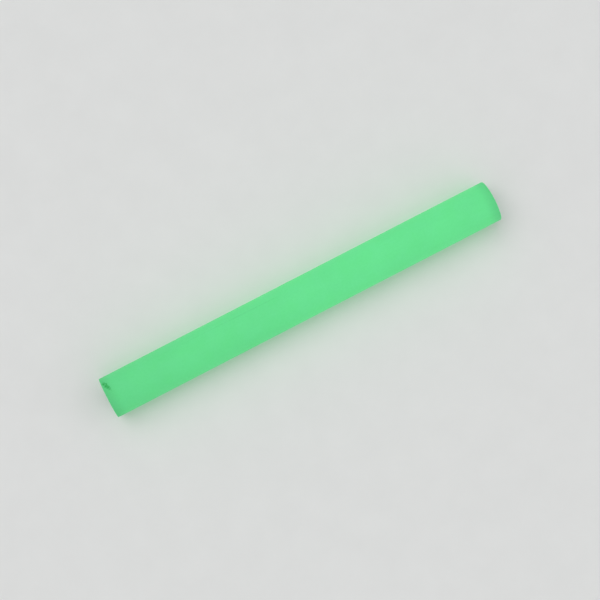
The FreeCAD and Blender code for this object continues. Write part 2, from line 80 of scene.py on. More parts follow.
class Grain(Enum):
    """Which way the fine pattern of a surface runs."""

    EVEN = "the same every way, as moulded or cast"
    DRAWN = "in lines along the tube, as extruded or drawn"
    TURNED = "in rings about the tube's axis, as turned on a lathe"


# ---------------------------------------------------------------- finishes


def linear(code: str) -> tuple[float, float, float, float]:
    """Turns an sRGB hex colour into the linear colour that shaders use.

    Args:
        code: the colour as six hex digits after a hash sign.

    Returns:
        Red, green, blue and an alpha of one.
    """
    parts = [int(code[i:i + 2], 16) / 255.0 for i in (1, 3, 5)]
    red, green, blue = (c / 12.92 if c <= 0.04045 else ((c + 0.055) / 1.055) ** 2.4 for c in parts)
    return red, green, blue, 1.0


class Graph:
    """One Principled material and the nodes that shade it."""

    def __init__(self, name: str) -> None:
        """Starts the material with a bare shader.

        Args:
            name: the finish's name.
        """
        self.material = bpy.data.materials.new(name)
        self.material.use_nodes = True
        self.tree = self.material.node_tree
        self.tree.nodes.clear()
        self.shader = self.add("BsdfPrincipled")
        self.add("OutputMaterial", {"Surface": self.shader.outputs["BSDF"]})

    def add(self, kind: str, settings: Mapping[str | int, object] | None = None) -> bpy.types.Node:
        """Adds one node.

        Args:
            kind: its type name, without the words that all shader nodes begin with.
            settings: its properties and inputs, as in fit.

        Returns:
            The new node.
        """
        node = self.tree.nodes.new("ShaderNode" + kind)
        self.fit(node, settings or {})
        return node

    def fit(self, node: bpy.types.Node, settings: Mapping[str | int, object]) -> None:
        """Sets a node's properties and inputs.

        Args:
            node: the node.
            settings: by name, the socket that feeds an input, or else a value for the property of
                that name or for the input of that name.
        """
        for name, value in settings.items():
            if isinstance(value, Socket):
                self.tree.links.new(value, node.inputs[name])
            elif isinstance(name, str) and hasattr(node, name):
                setattr(node, name, value)
            else:
                node.inputs[name].default_value = value

    def place(self) -> Socket:
        """The place on the piece, in metres from the middle of the tube's axis."""
        return self.moved(self.add("TexCoord").outputs["Object"], {"Location": -AXIS})

    def moved(self, place: Socket, changes: Mapping[str, object]) -> Socket:
        """The place after the named changes of a mapping node."""
        return self.add("Mapping", {**changes, "Vector": place}).outputs["Vector"]

    def length(self, vector: Socket) -> Socket:
        """How long a vector is."""
        return self.add("VectorMath", {"operation": "LENGTH", 0: vector}).outputs["Value"]

    def running(self, grain: Grain) -> Socket:
        """Squeezes or wraps the place, so that a pattern that reads it runs the right way.

        Args:
            grain: which way the pattern runs.

        Returns:
            The place that the pattern reads.
        """
        place = self.place()
        if grain is Grain.DRAWN:
            return self.moved(place, {"Scale": (DRAWN_OUT, 1.0, 1.0)})
        if grain is Grain.TURNED:
            reach = self.length(self.moved(place, {"Scale": (0.0, 1.0, 1.0)}))
            along = self.add("SeparateXYZ", {0: place}).outputs["X"]
            return self.add("CombineXYZ", {"X": along, "Y": reach}).outputs["Vector"]
        return place

    def noise(self, where: Socket, size_mm: float, detail: float, roughness: float = 0.5) -> Socket:
        """A cloudy pattern whose features are about the given size."""
        settings = {"Vector": where, "Scale": 1.0 / (size_mm * MM), "Detail": detail, "Roughness": roughness}
        return self.add("TexNoise", settings).outputs["Fac"]

    def maths(self, operation: str, *terms: Socket | float) -> Socket:
        """The result of one step of arithmetic."""
        return self.add("Math", {"operation": operation, **dict(enumerate(terms))}).outputs[0]

    def product(self, *factors: Socket) -> Socket:
        """Multiplies values together.

        Args:
            factors: the values.

        Returns:
            Their product.
        """
        total = factors[0]
        for factor in factors[1:]:
            total = self.maths("MULTIPLY", total, factor)
        return total

    def ranged(
        self, value: Socket, taken: tuple[float, float], given: tuple[float, float], smooth: bool = False,
    ) -> Socket:
        """Maps one range of values to another.

        Args:
            value: what is mapped.
            taken: the range that is read.
            given: what its two ends become.
            smooth: whether the change eases in and out.

        Returns:
            The mapped value.
        """
        return self.add("MapRange", {
            "interpolation_type": "SMOOTHSTEP" if smooth else "LINEAR", "Value": value,
            "From Min": taken[0], "From Max": taken[1], "To Min": given[0], "To Max": given[1],
        }).outputs["Result"]

    def mixed(self, share: Socket, first: Socket | str, second: str) -> Socket:
        """Mixes two colours.

        Args:
            share: how much of the second colour there is.
            first: the first colour, as hex digits or as the socket that gives it.
            second: the second colour, as hex digits.

        Returns:
            The mixed colour.
        """
        start = linear(first) if isinstance(first, str) else first
        return self.add("Mix", {"data_type": "RGBA", 0: share, 6: start, 7: linear(second)}).outputs[2]

    def relief(self, height: Socket, deep_mm: float) -> Socket:
        """Turns a pattern into relief of the given depth."""
        settings = {"Strength": 1.0, "Distance": deep_mm * MM, "Height": height}
        return self.add("Bump", settings).outputs["Normal"]


@dataclass(frozen=True)
class Finish:
    """A plain real finish: a base colour with fine grain in its colour, gloss and relief."""

    name: str
    colour: str
    shade: str
    roughness: float
    spread: float = 0.10
    metallic: float = 0.0
    ior: float = 1.5
    grain: Grain = Grain.EVEN
    grain_mm: float = 1.0
    relief_mm: float = 0.0
    coat: float = 0.0
    glow: str = "#000000"
    glow_strength: float = 0.0

    def material(self) -> bpy.types.Material:
        """Makes the finish, or finds it when it was made before.

        Returns:
            The finish as a material.
        """
        made = bpy.data.materials.get(self.name)
        if made:
            return made
        graph = Graph(self.name)
        noise = graph.noise(graph.running(self.grain), self.grain_mm, detail=4.0, roughness=0.6)
        gloss = (max(self.roughness - self.spread, 0.03), min(self.roughness + self.spread, 1.0))
        graph.fit(graph.shader, {
            "Base Color": graph.mixed(noise, self.colour, self.shade),
            "Roughness": graph.ranged(noise, NOISE_BAND, gloss),
            "Metallic": self.metallic, "IOR": self.ior, "Coat Weight": self.coat,
            "Emission Color": linear(self.glow), "Emission Strength": self.glow_strength})
        if self.relief_mm:
            graph.fit(graph.shader, {"Normal": graph.relief(noise, self.relief_mm)})
        return graph.material


@dataclass(frozen=True)
class LitTube:
    """Milky polycarbonate, extruded and lit from inside.

    The light strips make the wall glow evenly.  It dims over the end pieces, drifts a little in
    clouds, and carries faint extrusion lines, one hairline scratch and one small stain by the tail.
    Angles are measured round the tube from its top, and distances from its tail.
    """

    name: str = "lit milky polycarbonate"
    body: str = "#469364"
    shade: str = "#408B5C"
    glow: str = "#67E490"
    patch: str = "#64E48A"
    stained: str = "#18B246"
    grime: str = "#2E7A45"
    strength: float = 0.66
    end_loss: float = 0.23
    end_fade_mm: float = 12.5
    tail_drop: float = 0.16
    gloss: tuple[float, float] = (0.56, 0.70)
    ior: float = 1.58
    specular: float = 0.12
    scatter: float = 0.25
    scatter_mm: float = 4.0
    scatter_tint: tuple[float, float, float] = (0.6, 1.0, 0.7)
    cloud_mm: float = 45.0
    cloud_light: tuple[float, float] = (0.97, 1.03)
    patch_mm: float = 14.0
    patch_band: tuple[float, float] = (0.35, 0.65)
    speck_mm: float = 2.2
    # The die's lines are about 0.1 mm apart; they are drawn wider so that they show.
    line_mm: float = 0.9
    line_light: tuple[float, float] = (0.992, 1.008)
    line_relief_mm: float = 0.012
    stain_depth_mm: float = 4.2
    stain_turn_deg: float = 34.0
    stain_mm: tuple[float, float, float] = (6.5, 2.0, 3.0)
    stain_lean: tuple[float, float] = (0.37, 0.93)
    stain_band: tuple[float, float] = (0.2, 1.15)
    stain_full: float = 0.95
    stain_ragged: float = 3.0
    stain_ragged_mm: float = 1.6
    scratch_turn_deg: float = 36.0
    scratch_drift_deg: float = 9.0
    scratch_wide_deg: float = 1.6
    scratch_core: float = 0.3
    scratch_from_mm: float = 36.0
    scratch_to_mm: float = 192.0
    scratch_fade_mm: float = 25.0
    scratch_full_mm: float = 40.0
    scratch_loss: float = 0.14
    scratch_breaks: tuple[float, float] = (0.35, 0.6)
    scratch_least: float = 0.2

    def material(self) -> bpy.types.Material:
        """Makes the finish.

        Returns:
            The finish as a material.
        """
        graph = Graph(self.name)
        place = graph.place()
        parts = graph.add("SeparateXYZ", {0: place}).outputs
        turn = graph.maths("ARCTAN2", parts["Y"], parts["Z"])
        clouds = graph.noise(place, self.cloud_mm, detail=2.0)
        specks = graph.noise(place, self.speck_mm, detail=5.0)
        lines = graph.noise(graph.running(Grain.DRAWN), self.line_mm, detail=3.0)
        scratch = self._scratch(graph, parts["X"], turn, specks)
        light = graph.product(
            self._ends(graph, parts["X"]),
            graph.ranged(clouds, NOISE_BAND, self.cloud_light),
            graph.ranged(lines, NOISE_BAND, self.line_light),
            graph.ranged(scratch, (0.0, 1.0), (1.0, 1.0 - self.scratch_loss)))
        patches = graph.ranged(graph.noise(place, self.patch_mm, detail=3.0), self.patch_band, (0.0, 1.0))
        stain = self._stain(graph, place)
        graph.fit(graph.shader, {
            "Emission Strength": graph.maths("MULTIPLY", light, self.strength),
            "Emission Color": graph.mixed(stain, graph.mixed(patches, self.glow, self.patch), self.stained),
            "Base Color": graph.mixed(stain, graph.mixed(specks, self.body, self.shade), self.grime),
            "Roughness": graph.ranged(specks, NOISE_BAND, self.gloss),
            "Normal": graph.relief(lines, self.line_relief_mm),
            "IOR": self.ior, "Specular IOR Level": self.specular, "Subsurface Weight": self.scatter,
            "Subsurface Radius": self.scatter_tint, "Subsurface Scale": self.scatter_mm * MM})
        return graph.material

    def _ends(self, graph: Graph, depth: Socket) -> Socket:
        """Dims the light over the collar and the tip plug, and a little towards the tail.

        Args:
            graph: the material's nodes.
            depth: the place along the tube.

        Returns:
            The share of the light that reaches each place.
        """
        tail = TUBE_LOW.x - AXIS.x
        tip = TUBE_HIGH.x - AXIS.x
        low = 1.0 - self.end_loss
        fade = self.end_fade_mm * MM
        return graph.product(
            graph.ranged(depth, (tail, tail + fade), (low, 1.0), smooth=True),
            graph.ranged(depth, (tip - fade, tip), (1.0, low), smooth=True),
            graph.ranged(depth, (tail, (tail + tip) / 2), (1.0 - self.tail_drop, 1.0)))

    def _stain(self, graph: Graph, place: Socket) -> Socket:
        """Lays a small ragged stain by the tail, drawn out aslant.

        Args:
            graph: the material's nodes.
            place: the place on the tube.

        Returns:
            Nearly one inside the stain and nothing outside it.
        """
        turn = math.radians(self.stain_turn_deg)
        radius = (TUBE_HIGH.z - TUBE_LOW.z) / 2
        depth = TUBE_LOW.x - AXIS.x + self.stain_depth_mm * MM
        centre = Vector((depth, radius * math.sin(turn), radius * math.cos(turn)))
        along, across = self.stain_lean
        aslant = Vector((along, -across * math.cos(turn), across * math.sin(turn)))
        spot = graph.moved(place, {
            "vector_type": "TEXTURE", "Location": centre, "Scale": Vector(self.stain_mm) * MM,
            "Rotation": ALONG.rotation_difference(aslant).to_euler()})
        frayed = graph.noise(place, self.stain_ragged_mm, detail=3.0)
        ragged = graph.maths("MULTIPLY_ADD", frayed, self.stain_ragged, -self.stain_ragged / 2)
        reach = graph.maths("ADD", graph.length(spot), ragged)
        return graph.ranged(reach, self.stain_band, (self.stain_full, 0.0), smooth=True)

    def _scratch(self, graph: Graph, depth: Socket, turn: Socket, specks: Socket) -> Socket:
        """Draws a faint broken line along the upper side.

        Args:
            graph: the material's nodes.
            depth: the place along the tube.
            turn: the angle round the tube.
            specks: the pattern that breaks the line up.

        Returns:
            Up to one on the line and nothing beside it.
        """
        start = TUBE_LOW.x - AXIS.x + self.scratch_from_mm * MM
        end = TUBE_LOW.x - AXIS.x + self.scratch_to_mm * MM
        last = math.radians(self.scratch_turn_deg)
        first = math.radians(self.scratch_turn_deg + self.scratch_drift_deg)
        aim = graph.ranged(depth, (start, end), (first, last))
        gap = graph.maths("ABSOLUTE", graph.maths("SUBTRACT", turn, aim))
        width = math.radians(self.scratch_wide_deg)
        return graph.product(
            graph.ranged(gap, (width * self.scratch_core, width), (1.0, 0.0), smooth=True),
            graph.ranged(depth, (start, end - self.scratch_full_mm * MM), (0.0, 1.0)),
            graph.ranged(depth, (end - self.scratch_fade_mm * MM, end), (1.0, 0.0), smooth=True),
            graph.ranged(specks, self.scratch_breaks, (self.scratch_least, 1.0)))


# Each grain is given in millimetres.  Moulding, plating and drawing leave marks well under a tenth of
# a millimetre, so the grains of about half a millimetre below are drawn that coarse to show at all.

# Milky polycarbonate, extruded: an even green glow with no highlight, and faint lines along it.
MILKY_TUBE = LitTube()
# The same, sawn across and rubbed down: fine arcs left by the saw, paler and duller than the lit wall.
SAWN_RIM = Finish(
    "sawn milky polycarbonate", "#63AE80", "#4F9A6C", 0.62, ior=1.58, grain=Grain.TURNED, grain_mm=0.35,
    relief_mm=0.03, glow="#6CE293", glow_strength=0.42)
# Translucent polycarbonate, moulded in a spark-eroded tool: satin, and dimly lit by the tube behind it.
MOULDED_PLUG = Finish(
    "moulded translucent polycarbonate", "#4FB67B", "#43A86E", 0.44, ior=1.58, grain_mm=0.5,
    relief_mm=0.012, glow="#3FBF72", glow_strength=0.22)
# The same resin in the cap: a little glossier and darker, because less light gets into it.
MOULDED_CAP = Finish(
    "moulded satin polycarbonate cap", "#45AC72", "#3A9C65", 0.40, ior=1.58, grain_mm=0.45,
    relief_mm=0.012, glow="#3FBF72", glow_strength=0.12)
# Elastomer, moulded over the button: dark, soft and matte, with no clear highlight, and a faint painted green
# glow, as if the tube's light reached it.
BUTTON_SKIN = Finish(
    "soft elastomer button skin", "#2E7F52", "#276F47", 0.66, grain_mm=0.35, relief_mm=0.02,
    glow="#3FBF72", glow_strength=0.05)
# Nitrile rubber, pressed in a mould: near black, with a dull grey bloom in patches.
NITRILE = Finish("nitrile rubber", "#17181A", "#26282A", 0.58, ior=1.52, grain_mm=0.8, relief_mm=0.01)
# Stainless wire, drawn through a die: bright, with a long highlight that breaks up a little.
DRAWN_STEEL = Finish(
    "drawn stainless wire", "#D6D8DB", "#BFC2C6", 0.20, metallic=1.0, grain_mm=0.6, relief_mm=0.004)
# Aluminium, extruded and clear anodised: satin grey, with the die's lines along it.
ANODISED = Finish(
    "anodised aluminium", "#C6C9CC", "#AEB2B6", 0.34, metallic=1.0, grain=Grain.DRAWN, grain_mm=0.5,
    relief_mm=0.008)
# Nickel, plated over drawn steel: warm and bright, with a slight haze.
NICKEL = Finish("nickel plate", "#CCC9C2", "#B8B5AE", 0.20, metallic=1.0, grain_mm=0.8, relief_mm=0.003)
# A magnet, ground flat and plated: bright, with faint rings under the plate.
PLATED_MAGNET = Finish(
    "ground and nickel plated magnet", "#D2D0CB", "#B4B2AD", 0.22, spread=0.08, metallic=1.0,
    grain=Grain.TURNED, grain_mm=0.5, relief_mm=0.006)
# Brass, turned with a feed of about 0.12 mm: yellow, with the tool's rings catching the light.
TURNED_BRASS = Finish(
    "turned brass", "#C9A562", "#AD8B4C", 0.28, metallic=1.0, grain=Grain.TURNED, grain_mm=0.12,
    relief_mm=0.008)
# Steel, stamped and zinc-plated: blue-grey, in soft clouds a few millimetres across.
ZINC_STEEL = Finish(
    "zinc plated steel", "#A9AEB4", "#8C9299", 0.38, metallic=1.0, grain_mm=2.5, relief_mm=0.006)
# Tin solder, melted on: rounded and bright, a little frosted where it set.
TIN_SOLDER = Finish("tin solder", "#C3C5C7", "#A5A7AA", 0.30, metallic=1.0, grain_mm=0.7, relief_mm=0.02)
# Copper pads, etched and gold-flashed: flat and satin yellow.
GOLD_PAD = Finish(
    "gold flashed copper pad", "#D6B061", "#C09A4E", 0.32, metallic=1.0, grain_mm=0.4, relief_mm=0.004)
# Copper wire, enamelled and wound: red-brown, with a bright line on each turn.
COPPER_WIRE = Finish(
    "enamelled copper wire", "#A9552B", "#8E4322", 0.26, metallic=1.0, grain_mm=0.5, relief_mm=0.01)
# Green mask, screened over glass cloth with threads about 0.5 mm apart: glossy and slightly mottled.
GREEN_MASK = Finish("green solder mask", "#17603A", "#0F4C2D", 0.36, ior=1.52, grain_mm=0.8, relief_mm=0.006)
# White mask, screened on the strips: bright and even, to throw the light outwards.
WHITE_MASK = Finish("white solder mask", "#E9EAE4", "#DCDDD6", 0.42, ior=1.52, grain_mm=0.8, relief_mm=0.006)
# Epoxy with a silica filler, moulded round the chips: charcoal, dull and finely pitted.
MOULD_COMPOUND = Finish(
    "epoxy mould compound", "#1B1B1D", "#29292C", 0.55, ior=1.55, grain_mm=0.25, relief_mm=0.01)
# Ferrite powder, pressed and sintered: dark grey and dull, like fired clay.
FERRITE = Finish("sintered ferrite", "#2A2B2E", "#1C1D1F", 0.62, ior=1.8, grain_mm=0.3, relief_mm=0.02)
# Aluminium can, deep drawn: bright and smooth, with a soft highlight.
CAN_ALUMINIUM = Finish(
    "drawn aluminium can", "#C4C7CA", "#ADB0B4", 0.26, metallic=1.0, grain_mm=0.6, relief_mm=0.005)
# White nylon, moulded as a reflector cup: chalky and even.
LED_BODY = Finish("white reflector moulding", "#F1F0EA", "#E4E3DC", 0.48, grain_mm=0.4, relief_mm=0.004)
# Silicone, poured over a lit diode: a glossy pale green point of light.
LED_LENS = Finish(
    "lit diode resin", "#8FE8AC", "#7ADF9B", 0.20, ior=1.53, grain_mm=0.5, glow="#5FF59A", glow_strength=0.9)
# Nylon, moulded without a dye: waxy cream, faintly clouded.
NATURAL_NYLON = Finish("natural nylon", "#E3DFD2", "#D6D1C2", 0.50, ior=1.53, grain_mm=0.9, relief_mm=0.01)
# Nylon, moulded with carbon black: dark satin.
BLACK_NYLON = Finish("black nylon", "#1D1E20", "#2B2C2F", 0.48, ior=1.53, grain_mm=0.6, relief_mm=0.01)
# Polyolefin sleeve, shrunk on with heat: satin black, with faint creases along it.
SHRINK_SLEEVE = Finish(
    "polyolefin sleeve", "#1A1B1D", "#242528", 0.40, grain=Grain.DRAWN, grain_mm=1.2, relief_mm=0.02)
# PVC, extruded over the leads: smooth satin in plain red and black, with faint lines along it.
RED_PVC = Finish(
    "red wire insulation", "#B32A22", "#9A211B", 0.38, ior=1.53, grain=Grain.DRAWN, grain_mm=0.6,
    relief_mm=0.006)
BLACK_PVC = Finish(
    "black wire insulation", "#17181A", "#232427", 0.38, ior=1.53, grain=Grain.DRAWN, grain_mm=0.6,
    relief_mm=0.006)
# Clear film, printed on its inner face and shrunk on the cell: glossy, in two plain colours.
FILM_MAIN = Finish(
    "blue cell film", "#1F5C96", "#1A4F84", 0.18, ior=1.49, grain_mm=3.0, relief_mm=0.01, coat=0.4)
FILM_BAND = Finish(
    "silver cell film", "#C8CDD2", "#B4BABF", 0.20, ior=1.49, grain_mm=3.0, relief_mm=0.01, coat=0.4)
# Painted board, rolled on: pale, flat and even.
FLOOR_PAPER = Finish("pale studio floor", "#E6E6E4", "#E1E1DF", 0.82, ior=1.45, grain_mm=30.0, relief_mm=0.02)


# ---------------------------------------------------------------- mesh helpers


@dataclass(frozen=True)
class Span:
    """Where a round piece lies: its two ends along the tube and its outer radius."""

    front: float
    back: float
    radius: float

    @classmethod
    def of(cls, node: str) -> "Span":
        """The span of a node of the frame."""
        low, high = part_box(node)
        return cls(low.x, high.x, (high.z - low.z) / 2)


def lathe(outline: Outline, rounding: float = 0.0, around: int = 96) -> Shape:
    """Turns a half outline about the tube's axis.

    Args:
        outline: corners as a place along the tube and a radius, in metres.  Where the first and
            last lie on the axis the piece is solid; otherwise the outline closes on itself.
        rounding: radius given to every corner that is off the axis.
        around: number of steps in the full turn.

    Returns:
        The closed shape.
    """
    shape = bmesh.new()
    corners = [shape.verts.new((x, AXIS.y, AXIS.z + radius)) for x, radius in outline]
    solid = outline[0][1] == 0.0 and outline[-1][1] == 0.0
    following = corners[1:] if solid else corners[1:] + corners[:1]
    for here, there in zip(corners, following):
        shape.edges.new((here, there))
    if rounding:
        turning = [corner for corner, (_, radius) in zip(corners, outline) if radius > 0.0]
        bmesh.ops.bevel(
            shape, geom=turning, offset=rounding, segments=3, profile=0.5,
            affect="VERTICES", clamp_overlap=True, material=-1)
    bmesh.ops.spin(
        shape, geom=shape.verts[:] + shape.edges[:], cent=AXIS, axis=ALONG,
        angle=math.tau, steps=around, use_merge=True, use_duplicate=False)
    bmesh.ops.remove_doubles(shape, verts=shape.verts, dist=0.0005 * MM)
    bmesh.ops.recalc_face_normals(shape, faces=shape.faces)
    return shape


def slab(low: Vector, high: Vector, edge: float = 0.0) -> Shape:
    """A straight-sided block with softened edges.

    Args:
        low: its lowest corner.
        high: its highest corner.
        edge: width of the softened edge.

    Returns:
        The block.
    """
    shape = bmesh.new()
    bmesh.ops.create_cube(shape, size=1.0)
    bmesh.ops.scale(shape, vec=high - low, verts=shape.verts)
    bmesh.ops.translate(shape, vec=(low + high) / 2, verts=shape.verts)
    if edge:
        bmesh.ops.bevel(
            shape, geom=shape.edges[:], offset=edge, segments=2, profile=0.5, affect="EDGES", material=-1)
    return shape


def drum(
    centre: Vector, radius: float, length: float, direction: Vector = UP, edge: float = 0.0, around: int = 32,
) -> Shape:
    """A short round bar.

    Args:
        centre: its middle.
        radius: its radius.
        length: its length.
        direction: where its axis points.
        edge: width of the softened edge at each end.
        around: number of its sides.

    Returns:
        The bar.
    """
    shape = bmesh.new()
    bmesh.ops.create_cone(shape, cap_ends=True, segments=around, radius1=radius, radius2=radius, depth=length)
    if edge:
        rims = [e for e in shape.edges if abs(e.verts[0].co.z - e.verts[1].co.z) < 1e-9]
        bmesh.ops.bevel(shape, geom=rims, offset=edge, segments=2, profile=0.5, affect="EDGES", material=-1)
    turn = UP.rotation_difference(direction).to_matrix()
    bmesh.ops.rotate(shape, cent=(0, 0, 0), matrix=turn, verts=shape.verts)
    bmesh.ops.translate(shape, vec=centre, verts=shape.verts)
    return shape


def bead(centre: Vector, radius: float, flat: float = 0.6) -> Shape:
    """A small rounded blob.

    Args:
        centre: its middle.
        radius: its radius.
        flat: its height as a share of its width.

    Returns:
        The blob.
    """
    shape = bmesh.new()
    bmesh.ops.create_icosphere(shape, subdivisions=2, radius=radius)
    bmesh.ops.scale(shape, vec=(1.0, 1.0, flat), verts=shape.verts)
    bmesh.ops.translate(shape, vec=centre, verts=shape.verts)
    return shape


def wire_end(place: Vector, radius: float, sides: int, filled: bool) -> Shape:
    """The end of a wire, which the rest of it is drawn from: a circle that faces across the tube.

    Args:
        place: the middle of the circle.
        radius: the wire's radius.
        sides: number of the wire's sides.
        filled: whether the circle is a face or only its rim.

    Returns:
        The circle.
    """
    shape = bmesh.new()
    bmesh.ops.create_circle(shape, segments=sides, radius=radius, cap_ends=filled)
    bmesh.ops.rotate(shape, cent=(0, 0, 0), matrix=Matrix.Rotation(math.pi / 2, 3, "X"), verts=shape.verts)
    bmesh.ops.translate(shape, vec=place, verts=shape.verts)
    return shape


def paint(shape: Shape, index: int) -> Shape:
    """Gives every face of a shape the same finish.

    Args:
        shape: the shape.
        index: the finish's number on its piece.

    Returns:
        The same shape.
    """
    for face in shape.faces:
        face.material_index = index
    return shape


def merged(shapes: Iterable[Shape]) -> Shape:
    """Puts several shapes into one.

    Args:
        shapes: the shapes, which are used up.

    Returns:
        One shape, whose faces keep their finish numbers.
    """
    whole = bmesh.new()
    for shape in shapes:
        carrier = bpy.data.meshes.new("carrier")
        shape.to_mesh(carrier)
        shape.free()
        whole.from_mesh(carrier)
        bpy.data.meshes.remove(carrier)
    return whole


def in_a_row(shape: Shape, count: int, step: float) -> Shape:
    """Repeats a shape along the tube.

    Args:
        shape: the first one, which stays where it is.
        count: how many there are in all.
        step: distance from one to the next.

    Returns:
        The same shape with its copies.
    """
    first = shape.verts[:] + shape.edges[:] + shape.faces[:]
    for number in range(1, count):
        copy = bmesh.ops.duplicate(shape, geom=first)
        verts = [item for item in copy["geom"] if isinstance(item, bmesh.types.BMVert)]
        bmesh.ops.translate(shape, vec=ALONG * step * number, verts=verts)
    return shape


def rolled(shape: Shape, angle: float) -> Shape:
    """Turns a shape about the tube's axis."""
    bmesh.ops.rotate(shape, cent=AXIS, matrix=Matrix.Rotation(angle, 3, "X"), verts=shape.verts)
    return shape


def make_piece(
    name: str,
    shape: Shape,
    body: Body,
    finishes: Sequence[Finish | LitTube],
    stands_for: Sequence[str] = (),
) -> Piece:
    """Turns a shape into a finished piece that moves with its body.

    Args:
        name: the piece's name.
        shape: its mesh, which is used up.
        body: the body it moves with.
        finishes: its finishes, in the order of the faces' finish numbers.
        stands_for: nodes of the frame that it replaces.

    Returns:
        The piece.
    """
    mesh = bpy.data.meshes.new(name)
    shape.to_mesh(mesh)
    shape.free()
    mesh.shade_smooth()
    mesh.set_sharp_from_angle(angle=SHARP)
    for finish in finishes:
        mesh.materials.append(finish.material())
    piece = bpy.data.objects.new(name, mesh)
    bpy.context.scene.collection.objects.link(piece)
    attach(piece, body.value)
    if stands_for:
        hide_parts(*stands_for)
    return piece


def dress(finishes: Mapping[str, Finish]) -> list[Piece]:
    """Gives nodes of the frame their real finishes.

    Args:
        finishes: the finish of each node, by the node's name.

    Returns:
        The nodes.
    """
    pieces = []
    for node, finish in finishes.items():
        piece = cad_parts[node]
        piece.material_slots[0].material = finish.material()
        pieces.append(piece)
    return pieces


# ---------------------------------------------------------------- sub-assemblies


@dataclass
class LightTube:
    """The milky casing: one length of extruded tube, sawn square with softened rims."""

    span: Span = field(default_factory=lambda: Span.of("diffuser_tube"))
    bore: float = field(default_factory=lambda: Span.of("tip_plug").radius)
    rim: float = 0.5 * MM
    around: int = 192
    # A face belongs to a sawn rim where its normal leans along the tube by more than this.
    facing: float = 0.9

    def build(self) -> list[Piece]:
        """Makes the tube, with its own finish on the sawn rims.

        Returns:
            The tube.
        """
        tube = self.span
        shape = lathe([
            (tube.front, tube.radius), (tube.back, tube.radius),
            (tube.back, self.bore), (tube.front, self.bore)], self.rim, self.around)
        for face in shape.faces:
            face.material_index = int(abs(face.normal.x) > self.facing)
        finishes = [MILKY_TUBE, SAWN_RIM]
        return [make_piece("light_tube", shape, Body.BATON, finishes, ["diffuser_tube"])]


@dataclass
class HangingRing:
    """The half ring of wire, with a bent elbow and a straight pivot stub at each end."""

    wire: float = 1.0 * MM
    elbow: float = 1.4 * MM
    end_round: float = 0.2 * MM
    sides: int = 20
    elbow_steps: int = 8
    ring_steps: int = 48
    # The wire's end faces meet its side at more than this, and nothing else does.
    corner: float = math.radians(60.0)

    def build(self) -> list[Piece]:
        """Bends the wire round from one stub to the other.

        Returns:
            The ring.
        """
        low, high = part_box("hanging_ring")
        reach = (high.y - low.y) / 2
        ring = AXIS.z - low.z - self.wire
        aside = math.sqrt((ring + self.elbow) ** 2 - self.elbow ** 2)
        lean = math.asin(self.elbow / (ring + self.elbow))
        bend = math.pi / 2 - lean
        start = Vector(((low.x + high.x) / 2, AXIS.y + reach, AXIS.z))
        near = Vector((start.x, AXIS.y + aside, AXIS.z - self.elbow))
        far = Vector((start.x, AXIS.y - aside, AXIS.z - self.elbow))
        shape = wire_end(start, self.wire, self.sides, filled=True)
        self._pull(shape, aside - reach)
        self._bend(shape, near, bend, self.elbow_steps)
        self._bend(shape, Vector((start.x, AXIS.y, AXIS.z)), 2 * lean - math.pi, self.ring_steps)
        self._bend(shape, far, bend, self.elbow_steps)
        self._pull(shape, aside - reach)
        bmesh.ops.holes_fill(shape, edges=shape.edges)
        rims = [edge for edge in shape.edges if edge.calc_face_angle(0.0) > self.corner]
        bmesh.ops.bevel(
            shape, geom=rims, offset=self.end_round, segments=2, profile=0.5, affect="EDGES", material=-1)
        bmesh.ops.recalc_face_normals(shape, faces=shape.faces)
        return [make_piece("wire_ring", shape, Body.RING, [DRAWN_STEEL], ["hanging_ring"])]

    @staticmethod
    def _drawn_on(shape: Shape) -> list[bmesh.types.BMVert]:
        """Extrudes the wire's free end, which is the last face of more than four sides.

        Args:
            shape: the wire so far.

        Returns:
            The corners of the new end, still in the old one's place.
        """
        shape.faces.ensure_lookup_table()
        end = max((face for face in shape.faces if len(face.verts) > 4), key=lambda face: face.index)
        new = bmesh.ops.extrude_discrete_faces(shape, faces=[end])["faces"]
        shape.faces.index_update()
        return new[0].verts[:]

    def _pull(self, shape: Shape, length: float) -> None:
        """Draws the free end on in a straight line across the cap."""
        bmesh.ops.translate(shape, vec=(0.0, length, 0.0), verts=self._drawn_on(shape))

    def _bend(self, shape: Shape, centre: Vector, angle: float, steps: int) -> None:
        """Carries the free end round a bend.

        Args:
            shape: the wire so far.
            centre: the middle of the bend.
            angle: how far it turns.
            steps: how many straight lengths it is made of.
        """
        turn = Matrix.Rotation(angle / steps, 3, "X")
        for _ in range(steps):
            bmesh.ops.rotate(shape, cent=centre, matrix=turn, verts=self._drawn_on(shape))


